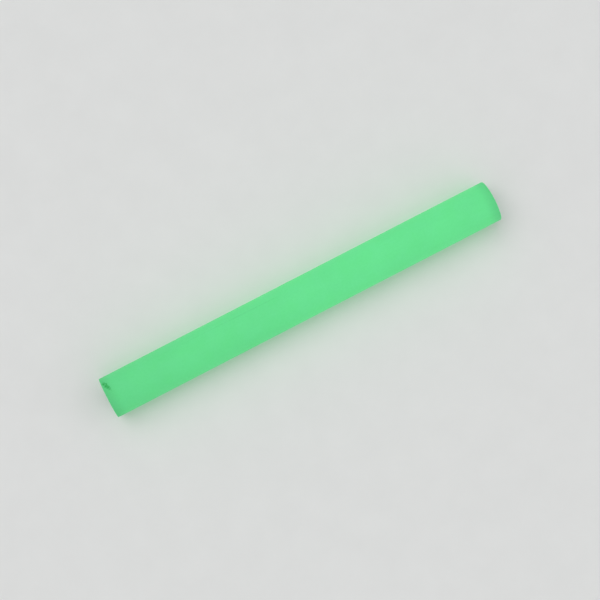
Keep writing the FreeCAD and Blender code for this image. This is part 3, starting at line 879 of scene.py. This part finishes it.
@dataclass
class PushButton:
    """The soft-skinned button: a dished face with two rings of grip dots, on a captive flange."""

    dish: float = 0.5 * MM
    dish_steps: int = 6
    shoulder: float = 0.6 * MM
    skin_play: float = 0.2 * MM
    groove_deep: float = 0.85 * MM
    groove_play: float = 0.1 * MM
    flange_thick: float = 1.0 * MM
    rounding: float = 0.12 * MM
    dots: int = 12
    dot: float = 0.36 * MM
    dot_ring: float = 2.7 * MM
    inner_ring: float = 0.45

    def build(self) -> list[Piece]:
        """Makes the button and its grip dots, and dresses what moves with it.

        Returns:
            The button, its seal and the switch's plunger.
        """
        low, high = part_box("push_button")
        seal = Span.of("button_seal")
        skin = seal.radius - self.skin_play
        groove = skin - self.groove_deep
        groove_end = seal.back + self.groove_play
        flange = (high.z - low.z) / 2
        floor = Span.of("switch_plunger").front
        rim = skin - 2 * self.shoulder
        outline = []
        for step in range(self.dish_steps + 1):
            share = step / self.dish_steps
            outline.append((low.x + self.dish * (1.0 - share ** 2), rim * share))
        outline += [
            (low.x, skin - self.shoulder), (low.x + self.shoulder, skin), (seal.front, skin),
            (seal.front, groove), (groove_end, groove), (groove_end, skin), (floor - self.flange_thick, skin),
            (floor - self.flange_thick, flange), (floor, flange), (floor, 0.0)]
        parts = [lathe(outline, self.rounding)]
        parts += [self._dot(low.x, self.dot_ring, number) for number in range(self.dots)]
        inner = self.dot_ring * self.inner_ring
        parts += [self._dot(low.x, inner, number) for number in range(0, self.dots, 2)]
        button = make_piece(
            "button_body", merged(parts), Body.BUTTON, [BUTTON_SKIN], ["push_button"])
        return [button, *dress({"button_seal": NITRILE, "switch_plunger": BLACK_NYLON})]

    def _dot(self, face: float, radius: float, number: int) -> Shape:
        """One grip dot, half sunk in the button's face."""
        shape = bead(Vector((face + self.dot, AXIS.y, AXIS.z + radius)), self.dot, 1.0)
        return rolled(shape, math.tau * number / self.dots)


@dataclass
class TailCap:
    """The screw cap with what it holds: seal, switch, board, retainer and spring."""

    sunk: float = 0.2 * MM
    soft: float = 0.08 * MM
    ribs: int = 60
    rib_tall: float = 0.2 * MM
    rib_wide: float = 0.5 * MM
    rib_outer: float = 0.65 * MM
    rib_inner: float = 2.15 * MM
    notch_half: float = math.radians(14.0)
    bead_gap: float = 0.6 * MM
    bead_wide: float = 0.6 * MM
    bead_draft: float = 0.1 * MM
    spring_wire: float = 0.4 * MM
    spring_sides: int = 10
    spring_turns: float = 3.0
    closed_turns: float = 0.75
    turn_steps: int = 32
    pin: float = 0.75 * MM
    pin_row: float = 6.6 * MM
    pin_gap: float = 2.5 * MM

    def build(self) -> list[Piece]:
        """Dresses the cap and what it holds, and makes the ribs, the spring and the switch's pins.

        Returns:
            Every piece that the cap carries, apart from the button and the ring.
        """
        dressed = dress({
            "tail_cap": MOULDED_CAP, "cap_seal": NITRILE, "switch_body": MOULD_COMPOUND,
            "switch_board": GREEN_MASK, "retaining_ring": TURNED_BRASS})
        return [self._ribs(), *dressed, self._spring(), self._pins()]

    def _ribs(self) -> Piece:
        """Makes grip ribs round the cap's rim, clear of the finger notches, and a bead by the button.

        Returns:
            The ribs and the bead as one piece.
        """
        cap = Span.of("tail_cap")
        face = cap.front - self.rib_tall
        foot = cap.front + self.sunk
        inner = Span.of("button_seal").radius + self.bead_gap
        outer = inner + self.bead_wide
        parts = [lathe([
            (face, inner), (face, outer), (foot, outer + self.bead_draft), (foot, inner - self.bead_draft),
        ], self.soft)]
        low = Vector((face, AXIS.y - self.rib_wide / 2, AXIS.z + cap.radius - self.rib_inner))
        high = Vector((foot, AXIS.y + self.rib_wide / 2, AXIS.z + cap.radius - self.rib_outer))
        for number in range(self.ribs):
            angle = math.tau * (number + 0.5) / self.ribs
            if abs(math.sin(angle)) > math.sin(self.notch_half):
                parts.append(rolled(slab(low, high, self.soft), angle))
        return make_piece("cap_grip_ribs", merged(parts), Body.CAP, [MOULDED_CAP])

    def _spring(self) -> Piece:
        """Winds a spring with closed end coils, from the switch board to the first cell.

        Returns:
            The spring.
        """
        wire = self.spring_wire
        radius = Span.of("battery_spring").radius - wire
        front = Span.of("switch_board").back + wire
        back = Span.of("battery_cell_1").front - wire
        shape = wire_end(Vector((front, AXIS.y, AXIS.z + radius)), wire, self.spring_sides, filled=False)
        closed = 2 * wire
        opened = (back - front - 2 * closed * self.closed_turns) / self.spring_turns
        coils = ((self.closed_turns, closed), (self.spring_turns, opened), (self.closed_turns, closed))
        for turns, climb in coils:
            bmesh.ops.spin(
                shape, geom=self._free_end(shape), cent=AXIS, axis=ALONG,
                dvec=ALONG * climb / self.turn_steps, angle=math.tau * turns,
                steps=int(self.turn_steps * turns), use_merge=False, use_duplicate=False)
        bmesh.ops.holes_fill(shape, edges=shape.edges)
        bmesh.ops.recalc_face_normals(shape, faces=shape.faces)
        return make_piece("wound_spring", shape, Body.CAP, [NICKEL], ["battery_spring"])

    def _free_end(self, shape: Shape) -> list[bmesh.types.BMVert | bmesh.types.BMEdge]:
        """Finds the open end of the wire that was made last.

        Args:
            shape: the wire so far.

        Returns:
            The corners and edges of that end.
        """
        loops: dict[int, list[bmesh.types.BMEdge]] = {}
        for edge in shape.edges:
            if edge.is_boundary or not edge.link_faces:
                loops.setdefault(max(vert.index for vert in edge.verts) // self.spring_sides, []).append(edge)
        last = loops[max(loops)]
        return list({vert for edge in last for vert in edge.verts}) + last

    def _pins(self) -> Piece:
        """Makes the four soldered pins of the switch on the back of its board.

        Returns:
            The pins as one piece.
        """
        board = Span.of("switch_board")
        pins = []
        for row in (-1, 1):
            for side in (-1, 1):
                place = Vector((board.back, AXIS.y + row * self.pin_row, AXIS.z + side * self.pin_gap))
                pins.append(bead(place, self.pin, 1.0))
        return make_piece("switch_solder", merged(pins), Body.CAP, [TIN_SOLDER])


@dataclass
class BatteryCell:
    """One cell: a steel can in a printed film, with a washer round its positive nub."""

    number: int
    nub: float = 2.75 * MM
    nub_tall: float = 1.2 * MM
    nub_foot: float = 0.8 * MM
    nub_taper: float = 0.2 * MM
    base_rim: float = 1.6 * MM
    base_step: float = 0.4 * MM
    can_drop: float = 0.5 * MM
    can_round: float = 0.15 * MM
    washer_drop: float = 0.2 * MM
    washer_play: float = 0.1 * MM
    washer_rim: float = 0.4 * MM
    film: float = 0.25 * MM
    film_fold: float = 0.9 * MM
    film_start: float = 0.1 * MM
    fold_thick: float = 0.2 * MM
    film_round: float = 0.12 * MM
    band: float = 13.0 * MM
    around: int = 64

    def build(self) -> list[Piece]:
        """Makes the can, the washer and the film.

        Returns:
            The three pieces.
        """
        node = f"battery_cell_{self.number}"
        span = Span.of(node)
        inner = span.radius - self.film
        shoulder = span.back - self.nub_tall
        base = span.front + self.base_step
        lip = shoulder - self.can_drop
        can = lathe([
            (span.front, 0.0), (span.front, inner - self.base_rim),
            (base, inner - self.base_rim + self.base_step), (base, inner), (lip, inner),
            (lip, self.nub + self.nub_foot), (shoulder, self.nub), (span.back, self.nub - self.nub_taper),
            (span.back, 0.0)], self.can_round, self.around)
        top = shoulder - self.washer_drop
        hole = self.nub + self.nub_foot + self.washer_play
        washer = lathe([
            (lip, hole), (top, hole), (top, inner - self.washer_rim), (lip, inner - self.washer_rim),
        ], 0.0, self.around)
        start = span.front + self.film_start
        fold = inner - self.film_fold
        film = lathe([
            (start, fold), (start, span.radius), (shoulder - self.band, span.radius), (shoulder, span.radius),
            (shoulder, fold), (shoulder - self.fold_thick, fold), (shoulder - self.fold_thick, inner),
            (start + self.fold_thick, inner), (start + self.fold_thick, fold)], self.film_round, self.around)
        for face in film.faces:
            face.material_index = int(face.calc_center_median().x > shoulder - self.band)
        name = f"cell_{self.number}"
        return [
            make_piece(f"{name}_can", can, Body.BATON, [NICKEL], [node]),
            make_piece(f"{name}_washer", washer, Body.BATON, [NATURAL_NYLON]),
            make_piece(f"{name}_film", film, Body.BATON, [FILM_MAIN, FILM_BAND])]


@dataclass
class LightStrip:
    """One strip on its flat of the core: board, pads, diodes and resistors."""

    number: int
    count: int = 22
    board_edge: float = 0.05 * MM
    diode_long: float = 3.5 * MM
    diode_edge: float = 0.12 * MM
    lens_rim: float = 0.35 * MM
    lens_sunk: float = 0.12 * MM
    foot_out: float = 0.1 * MM
    foot_half: float = 0.2 * MM
    foot_inset: float = 0.4 * MM
    foot_tall: float = 0.25 * MM
    foot_edge: float = 0.05 * MM
    chip: tuple[float, float, float] = (2.0 * MM, 1.25 * MM, 0.5 * MM)
    chip_end: float = 0.35 * MM
    chip_edge: float = 0.04 * MM
    diodes_a_pad: int = 3
    pad: tuple[float, float, float] = (2.4 * MM, 1.8 * MM, 0.08 * MM)
    pad_aside: float = 2.6 * MM
    pad_at: float = 0.45

    def build(self) -> list[Piece]:
        """Makes the strip on the top flat and turns it to its own flat.

        Returns:
            The board, the diodes and the resistors.
        """
        low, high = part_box("led_strip_1")
        first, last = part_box("leds_1")
        small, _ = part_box("resistors_1")
        diode = Vector((self.diode_long, last.y - first.y, last.z - first.z))
        step = (last.x - first.x - diode.x) / (self.count - 1)
        start = Vector((first.x + self.diode_long + step * self.pad_at, AXIS.y, high.z))
        pads = in_a_row(self._pads(start), (self.count - 1) // self.diodes_a_pad, step * self.diodes_a_pad)
        shapes = {
            "board": merged([slab(low, high, self.board_edge), paint(pads, 1)]),
            "diodes": in_a_row(self._diode(first, diode), self.count, step),
            "resistors": in_a_row(self._resistor(small), self.count // 2, step * 2)}
        looks = {
            "board": ([WHITE_MASK, GOLD_PAD], "strip_white", "led_strip"),
            "diodes": ([LED_BODY, LED_LENS, TIN_SOLDER], "led_resin", "leds"),
            "resistors": ([MOULD_COMPOUND, TIN_SOLDER], "black_plastic", "resistors")}
        roll = math.tau * (self.number - 1) / FLATS
        pieces = []
        for part, (finishes, slot, node) in looks.items():
            pieces.append(make_piece(
                f"strip_{self.number}_{part}", rolled(shapes[part], roll), Body.BATON, finishes,
                [f"{node}_{self.number}"]))
        return pieces

    def _pads(self, start: Vector) -> Shape:
        """Makes a pair of bare pads, half sunk in the board.

        Args:
            start: the middle of the pair's near edge.

        Returns:
            The pair.
        """
        long, wide, thick = self.pad
        low = start - Vector((0.0, wide / 2, thick / 2))
        high = start + Vector((long, wide / 2, thick / 2))
        asides = (Vector((0.0, side * self.pad_aside, 0.0)) for side in (-1, 1))
        return merged([slab(low + aside, high + aside) for aside in asides])

    def _diode(self, corner: Vector, size: Vector) -> Shape:
        """Makes a diode: a white cup with a lit lens sunk in its top, and a tinned foot at each end.

        Args:
            corner: the cup's lowest corner.
            size: the cup's length, width and height.

        Returns:
            The diode.
        """
        cup = slab(corner, corner + size, self.diode_edge)
        top = max(cup.faces, key=lambda face: face.calc_center_median().z)
        bmesh.ops.inset_region(cup, faces=[top], thickness=self.lens_rim)
        bmesh.ops.translate(cup, vec=(0.0, 0.0, -self.lens_sunk), verts=top.verts)
        top.material_index = 1
        feet = []
        for side in (-1, 1):
            middle = corner.x + size.x / 2 + side * (size.x / 2 + self.foot_out)
            far = corner.y + size.y - self.foot_inset
            low = Vector((middle - self.foot_half, corner.y + self.foot_inset, corner.z))
            high = Vector((middle + self.foot_half, far, corner.z + self.foot_tall))
            feet.append(paint(slab(low, high, self.foot_edge), 2))
        return merged([cup] + feet)

    def _resistor(self, corner: Vector) -> Shape:
        """Makes a chip resistor: a black body between two tinned ends.

        Args:
            corner: its lowest corner.

        Returns:
            The resistor.
        """
        length, width, tall = self.chip
        end = self.chip_end
        stretches = [(end, length - end, 0), (0.0, end, 1), (length - end, length, 1)]
        blocks = []
        for start, stop, finish in stretches:
            block = slab(corner + ALONG * start, corner + Vector((stop, width, tall)), self.chip_edge)
            blocks.append(paint(block, finish))
        return merged(blocks)


@dataclass
class Driver:
    """The board that feeds the strips, with its parts, in its sleeve."""

    soft: float = 0.05 * MM
    # The control chip, the dot by its first leg, and its legs.
    chip_side: float = 1.1 * MM
    chip_lift: float = 0.15 * MM
    chip_edge: float = 0.12 * MM
    mark: float = 0.3 * MM
    mark_thick: float = 0.02 * MM
    mark_inset: float = 0.7 * MM
    legs: int = 4
    leg_pitch: float = 1.27 * MM
    leg_at: float = 0.4 * MM
    leg: tuple[float, float, float] = (0.4 * MM, 1.2 * MM, 0.25 * MM)
    leg_edge: float = 0.04 * MM
    # The power transistor: its tab, its case and its two legs.
    tab_out: float = 1.0 * MM
    tab_short: float = 1.6 * MM
    tab_thick: float = 0.5 * MM
    case_short: float = 1.2 * MM
    case_lift: float = 0.1 * MM
    case_edge: float = 0.18 * MM
    stem: tuple[float, float, float] = (1.4 * MM, 0.7 * MM, 0.4 * MM)
    stem_apart: float = 4.5 * MM
    # The inductor: its two flanges and the winding between them.
    flange: float = 0.9 * MM
    flange_edge: float = 0.15 * MM
    winding_in: float = 0.5 * MM
    windings: int = 7
    winding_edge: float = 0.3
    round_sides: int = 40
    # The capacitors: their cans, their bases and the patches on their tops.
    can_in: float = 0.2 * MM
    can_lift: float = 0.6 * MM
    can_edge: float = 0.35 * MM
    base_in: float = 0.05 * MM
    base_tall: float = 1.0 * MM
    base_edge: float = 0.15 * MM
    patch_wide: float = 1.0 * MM
    patch_thick: float = 0.02 * MM
    patch_long: float = 1.4
    patch_at: float = 0.55
    # The leads' joints, and the row of test pads and small parts.
    joint: float = 0.9 * MM
    joint_flat: float = 0.7
    joint_lift: float = 0.2 * MM
    joint_aside: float = 3.2 * MM
    joint_from_end: float = 5.0 * MM
    test_pads: int = 5
    test_pad: float = 0.6 * MM
    test_pad_thick: float = 0.05 * MM
    test_pad_aside: float = 5.0 * MM
    test_pad_pitch: float = 2.6 * MM
    test_pads_from_end: float = 8.0 * MM
    small_part: tuple[float, float, float] = (1.6 * MM, 0.8 * MM, 0.5 * MM)
    small_part_at: tuple[float, float] = (-1.0 * MM, -1.0 * MM)

    def build(self) -> list[Piece]:
        """Makes the board's parts and dresses the board and its sleeve.

        Returns:
            The board, its sleeve and its parts.
        """
        dressed = dress({"driver_board": GREEN_MASK, "board_sleeve": SHRINK_SLEEVE})
        return [
            *dressed, self._chip(), self._transistor(), self._inductor(), self._capacitors(), self._joints()]

    def _chip(self) -> Piece:
        """Makes an eight-leg control chip with a dot at its first leg.

        Returns:
            The chip.
        """
        low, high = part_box("controller_chip")
        side = Vector((0.0, self.chip_side, 0.0))
        parts = [slab(low + side + UP * self.chip_lift, high - side, self.chip_edge)]
        dot = Vector((low.x + self.mark_inset, low.y + self.chip_side + self.mark_inset, high.z))
        parts.append(paint(drum(dot, self.mark, self.mark_thick), 1))
        wide, long, tall = self.leg
        for near in (low.y, high.y - long):
            corner = Vector((low.x + self.leg_at, near, low.z))
            leg = slab(corner, corner + Vector((wide, long, tall)), self.leg_edge)
            parts.append(paint(in_a_row(leg, self.legs, self.leg_pitch), 1))
        finishes = [MOULD_COMPOUND, TIN_SOLDER]
        return make_piece(
            "control_chip", merged(parts), Body.BATON, finishes, ["controller_chip"])

    def _transistor(self) -> Piece:
        """Makes a power transistor: a black case on a tinned tab, with two legs.

        Returns:
            The transistor.
        """
        low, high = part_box("power_transistor")
        case_low = low + Vector((self.tab_out, 0.0, self.case_lift))
        parts = [
            slab(case_low, high - ALONG * self.case_short, self.case_edge),
            paint(slab(low, Vector((high.x - self.tab_short, high.y, low.z + self.tab_thick)), self.soft), 1)]
        long, wide, thick = self.stem
        for side in (-1, 1):
            corner = Vector((high.x - long, AXIS.y + (side * self.stem_apart - wide) / 2, low.z))
            parts.append(paint(slab(corner, corner + Vector((long, wide, thick)), self.soft), 1))
        finishes = [MOULD_COMPOUND, TIN_SOLDER]
        return make_piece(
            "output_transistor", merged(parts), Body.BATON, finishes, ["power_transistor"])

    def _inductor(self) -> Piece:
        """Makes a ferrite drum with a copper winding between its flanges.

        Returns:
            The inductor.
        """
        low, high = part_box("inductor")
        centre = (low + high) / 2
        radius = (high.x - low.x) / 2
        parts = []
        for height in (low.z + self.flange / 2, high.z - self.flange / 2):
            place = Vector((centre.x, centre.y, height))
            parts.append(drum(place, radius, self.flange, UP, self.flange_edge, self.round_sides))
        step = (high.z - low.z - 2 * self.flange) / self.windings
        for number in range(self.windings):
            place = Vector((centre.x, centre.y, low.z + self.flange + step * (number + 0.5)))
            turn = drum(place, radius - self.winding_in, step, UP, step * self.winding_edge, self.round_sides)
            parts.append(paint(turn, 1))
        finishes = [FERRITE, COPPER_WIRE]
        return make_piece("drum_inductor", merged(parts), Body.BATON, finishes, ["inductor"])

    def _capacitors(self) -> Piece:
        """Makes two can capacitors on black bases, each with a dark polarity patch on its top.

        Returns:
            Both capacitors as one piece.
        """
        low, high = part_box("capacitors")
        radius = (high.y - low.y) / 2
        base = Vector((radius - self.base_in, radius - self.base_in, self.base_tall / 2))
        patch = Vector((self.patch_wide, radius * self.patch_long, self.patch_thick)) / 2
        tall = high.z - low.z - self.can_lift
        parts = []
        for x in (low.x + radius, high.x - radius):
            foot = Vector((x, AXIS.y, low.z + self.base_tall / 2))
            spot = Vector((x - radius * self.patch_at, AXIS.y, high.z))
            middle = Vector((x, AXIS.y, high.z - tall / 2))
            parts.append(drum(middle, radius - self.can_in, tall, UP, self.can_edge, self.round_sides))
            parts.append(paint(slab(foot - base, foot + base, self.base_edge), 1))
            parts.append(paint(slab(spot - patch, spot + patch), 1))
        finishes = [CAN_ALUMINIUM, BLACK_NYLON]
        return make_piece("can_capacitors", merged(parts), Body.BATON, finishes, ["capacitors"])

    def _joints(self) -> Piece:
        """Makes the leads' two solder joints, and a row of test pads and small parts.

        Returns:
            All of them as one piece.
        """
        _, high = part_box("driver_board")
        parts = []
        for side in (-1, 1):
            offset = Vector((-self.joint_from_end, side * self.joint_aside, self.joint_lift))
            parts.append(paint(bead(self._on_board(high) + offset, self.joint, self.joint_flat), 1))
        across, beside = self.small_part_at
        for number in range(self.test_pads):
            place = self._on_board(high) - ALONG * (self.test_pads_from_end + self.test_pad_pitch * number)
            pad = place + Vector((0.0, self.test_pad_aside, 0.0))
            parts.append(drum(pad, self.test_pad, self.test_pad_thick, around=16))
            corner = place + Vector((across, beside, 0.0))
            parts.append(slab(corner, corner + Vector(self.small_part), self.soft))
        finishes = [GOLD_PAD, TIN_SOLDER]
        return make_piece("board_joints", merged(parts), Body.BATON, finishes)

    @staticmethod
    def _on_board(high: Vector) -> Vector:
        """The middle of the board's far edge, on its top face."""
        return Vector((high.x, AXIS.y, high.z))


@dataclass
class Core:
    """The core tube and what closes it: collar, contact, stop, leads and end board."""

    joint: float = 0.6 * MM
    joint_flat: float = 0.5
    joint_aside: float = 2.0 * MM
    joint_lift: float = 0.1 * MM
    joint_before: float = 0.3 * MM

    def build(self) -> list[Piece]:
        """Dresses the core's own nodes and solders the strips to the end board.

        Returns:
            The nodes and the joints.
        """
        dressed = dress({
            "tail_collar": MOULDED_PLUG, "core_tube": ANODISED, "positive_contact": TURNED_BRASS,
            "battery_stop": NATURAL_NYLON, "lead_positive": RED_PVC, "lead_negative": BLACK_PVC,
            "end_board": GREEN_MASK})
        return [*dressed, self._joints()]

    def _joints(self) -> Piece:
        """Makes two solder joints at the end of each strip.

        Returns:
            The joints as one piece.
        """
        depth = Span.of("end_board").front - self.joint_before
        _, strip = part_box("led_strip_1")
        beads = []
        for number in range(FLATS):
            for side in (-1, 1):
                place = Vector((depth, AXIS.y + side * self.joint_aside, strip.z + self.joint_lift))
                joint = bead(place, self.joint, self.joint_flat)
                beads.append(rolled(joint, math.tau * number / FLATS))
        return make_piece("strip_solder", merged(beads), Body.BATON, [TIN_SOLDER])


@dataclass
class TipEnd:
    """The plug bonded in the tip, with the magnet on its steel backing."""

    drop: float = 0.3 * MM
    land: float = 1.2 * MM
    collar: float = 1.5 * MM
    rounding: float = 0.12 * MM
    around: int = 128
    pin_marks: int = 4
    pin_mark: float = 1.1 * MM
    pin_mark_thick: float = 0.12 * MM
    pin_mark_edge: float = 0.03 * MM
    gate: float = 0.25 * MM
    magnet_edge: float = 0.4 * MM

    def build(self) -> list[Piece]:
        """Makes the plug and the magnet, and dresses the backing.

        Returns:
            The plug, the backing and the magnet.
        """
        return [self._plug(), *dress({"magnet_backing": ZINC_STEEL}), self._magnet()]

    def _magnet(self) -> Piece:
        """Makes the plated disc magnet, with softened edges.

        Returns:
            The magnet.
        """
        span = Span.of("tip_magnet")
        disc = lathe([
            (span.front, 0.0), (span.front, span.radius), (span.back, span.radius), (span.back, 0.0),
        ], self.magnet_edge)
        return make_piece(
            "disc_magnet", disc, Body.BATON, [PLATED_MAGNET], ["tip_magnet"])

    def _plug(self) -> Piece:
        """Moulds the plug: a sunk face between a rim land and a collar, with pin marks and a gate.

        Returns:
            The plug.
        """
        plug = Span.of("tip_plug")
        board = Span.of("end_board")
        seat = Span.of("magnet_backing")
        face = plug.back - self.drop
        rim = plug.radius - self.land
        collar = seat.radius + self.collar
        parts = [lathe([
            (board.back, 0.0), (board.back, board.radius), (plug.front, board.radius),
            (plug.front, plug.radius), (plug.back, plug.radius), (plug.back, rim), (face, rim),
            (face, collar), (plug.back, collar), (plug.back, seat.radius), (seat.front, seat.radius),
            (seat.front, 0.0)], self.rounding, self.around)]
        place = Vector((face, AXIS.y, AXIS.z + (rim + collar) / 2))
        for number in range(self.pin_marks):
            mark = drum(place, self.pin_mark, self.pin_mark_thick, ALONG, self.pin_mark_edge)
            parts.append(rolled(mark, math.tau * (number + 0.5) / self.pin_marks))
        parts.append(bead(place, self.gate, 1.0))
        return make_piece(
            "moulded_tip_plug", merged(parts), Body.BATON, [MOULDED_PLUG], ["tip_plug"])


# ---------------------------------------------------------------- stage


@dataclass
class Studio:
    """The pale floor, the soft lights and the camera."""

    lens: float = 106.6
    sensor: float = 36.0
    distance: float = 1.664
    tilt: float = math.radians(3.8)
    roll: float = math.radians(27.29)
    # How far the tube's middle lies off the lens's axis, as a share of the view's width.
    shift: tuple[float, float] = (-0.0023333, -0.0020833)
    floor_reach: float = 60.0
    surround: str = "#E8EAEC"
    surround_strength: float = 0.66

    def build(self) -> None:
        """Sets the stage, with one main light and a softer one from the other side."""
        self._floor()
        self._camera()
        self._world()
        self._soft_light("key light", comes_from=Vector((-0.45, 0.75, 1.6)), spread_deg=50.0, power=1.0)
        self._soft_light("fill light", comes_from=Vector((0.8, -0.9, 1.6)), spread_deg=80.0, power=0.35)

    def _floor(self) -> None:
        """A plain floor at the height that the tube rests on."""
        shape = bmesh.new()
        bmesh.ops.create_grid(shape, x_segments=1, y_segments=1, size=self.floor_reach)
        bmesh.ops.translate(shape, vec=UP * TUBE_LOW.z, verts=shape.verts)
        mesh = bpy.data.meshes.new("floor")
        shape.to_mesh(mesh)
        shape.free()
        mesh.materials.append(FLOOR_PAPER.material())
        floor = bpy.data.objects.new("floor", mesh)
        bpy.context.scene.collection.objects.link(floor)

    def _camera(self) -> None:
        """A long lens almost straight above, with the tip of the tube a little further away."""
        back = Vector((-math.sin(self.tilt), 0.0, math.cos(self.tilt)))
        tube = (ALONG - back * ALONG.dot(back)).normalized()
        across = back.cross(tube)
        right = tube * math.cos(self.roll) - across * math.sin(self.roll)
        up = tube * math.sin(self.roll) + across * math.cos(self.roll)
        lens = bpy.data.cameras.new("camera")
        lens.lens = self.lens
        lens.sensor_width = self.sensor
        lens.shift_x, lens.shift_y = self.shift
        camera = bpy.data.objects.new("camera", lens)
        turn = Matrix((right, up, back)).transposed().to_4x4()
        camera.matrix_world = Matrix.Translation(AXIS + back * self.distance) @ turn
        bpy.context.scene.collection.objects.link(camera)
        bpy.context.scene.camera = camera

    def _world(self) -> None:
        """An even pale surround, shown in plain display colours."""
        world = bpy.data.worlds.new("surround")
        world.use_nodes = True
        sky = world.node_tree.nodes["Background"]
        sky.inputs["Color"].default_value = linear(self.surround)
        sky.inputs["Strength"].default_value = self.surround_strength
        bpy.context.scene.world = world
        bpy.context.scene.view_settings.view_transform = "Standard"

    def _soft_light(self, name: str, comes_from: Vector, spread_deg: float, power: float) -> None:
        """Adds a wide, far light, even all over the floor, whose shadows have soft edges.

        Args:
            name: the light's name.
            comes_from: the direction that it comes from.
            spread_deg: how wide it looks from the floor.
            power: how strong it is.
        """
        light = bpy.data.lights.new(name, "SUN")
        light.angle = math.radians(spread_deg)
        light.energy = power
        lamp = bpy.data.objects.new(name, light)
        lamp.location = comes_from
        lamp.rotation_euler = comes_from.to_track_quat("Z", "Y").to_euler()
        bpy.context.scene.collection.objects.link(lamp)


def main() -> None:
    """Builds the stage and every sub-assembly, and reports each piece."""
    logging.basicConfig(level=logging.INFO, format="%(name)s: %(message)s")
    Studio().build()
    cells = [BatteryCell(number) for number in (1, 2, 3)]
    strips = [LightStrip(number) for number in (1, 2, 3)]
    parts = [LightTube(), TailCap(), HangingRing(), PushButton(), Core(), *cells, *strips, Driver(), TipEnd()]
    for part in parts:
        for piece in part.build():
            LOG.info("%s: %s, %d faces", type(part).__name__, piece.name, len(piece.data.polygons))


if __name__ == "__main__":
    main()
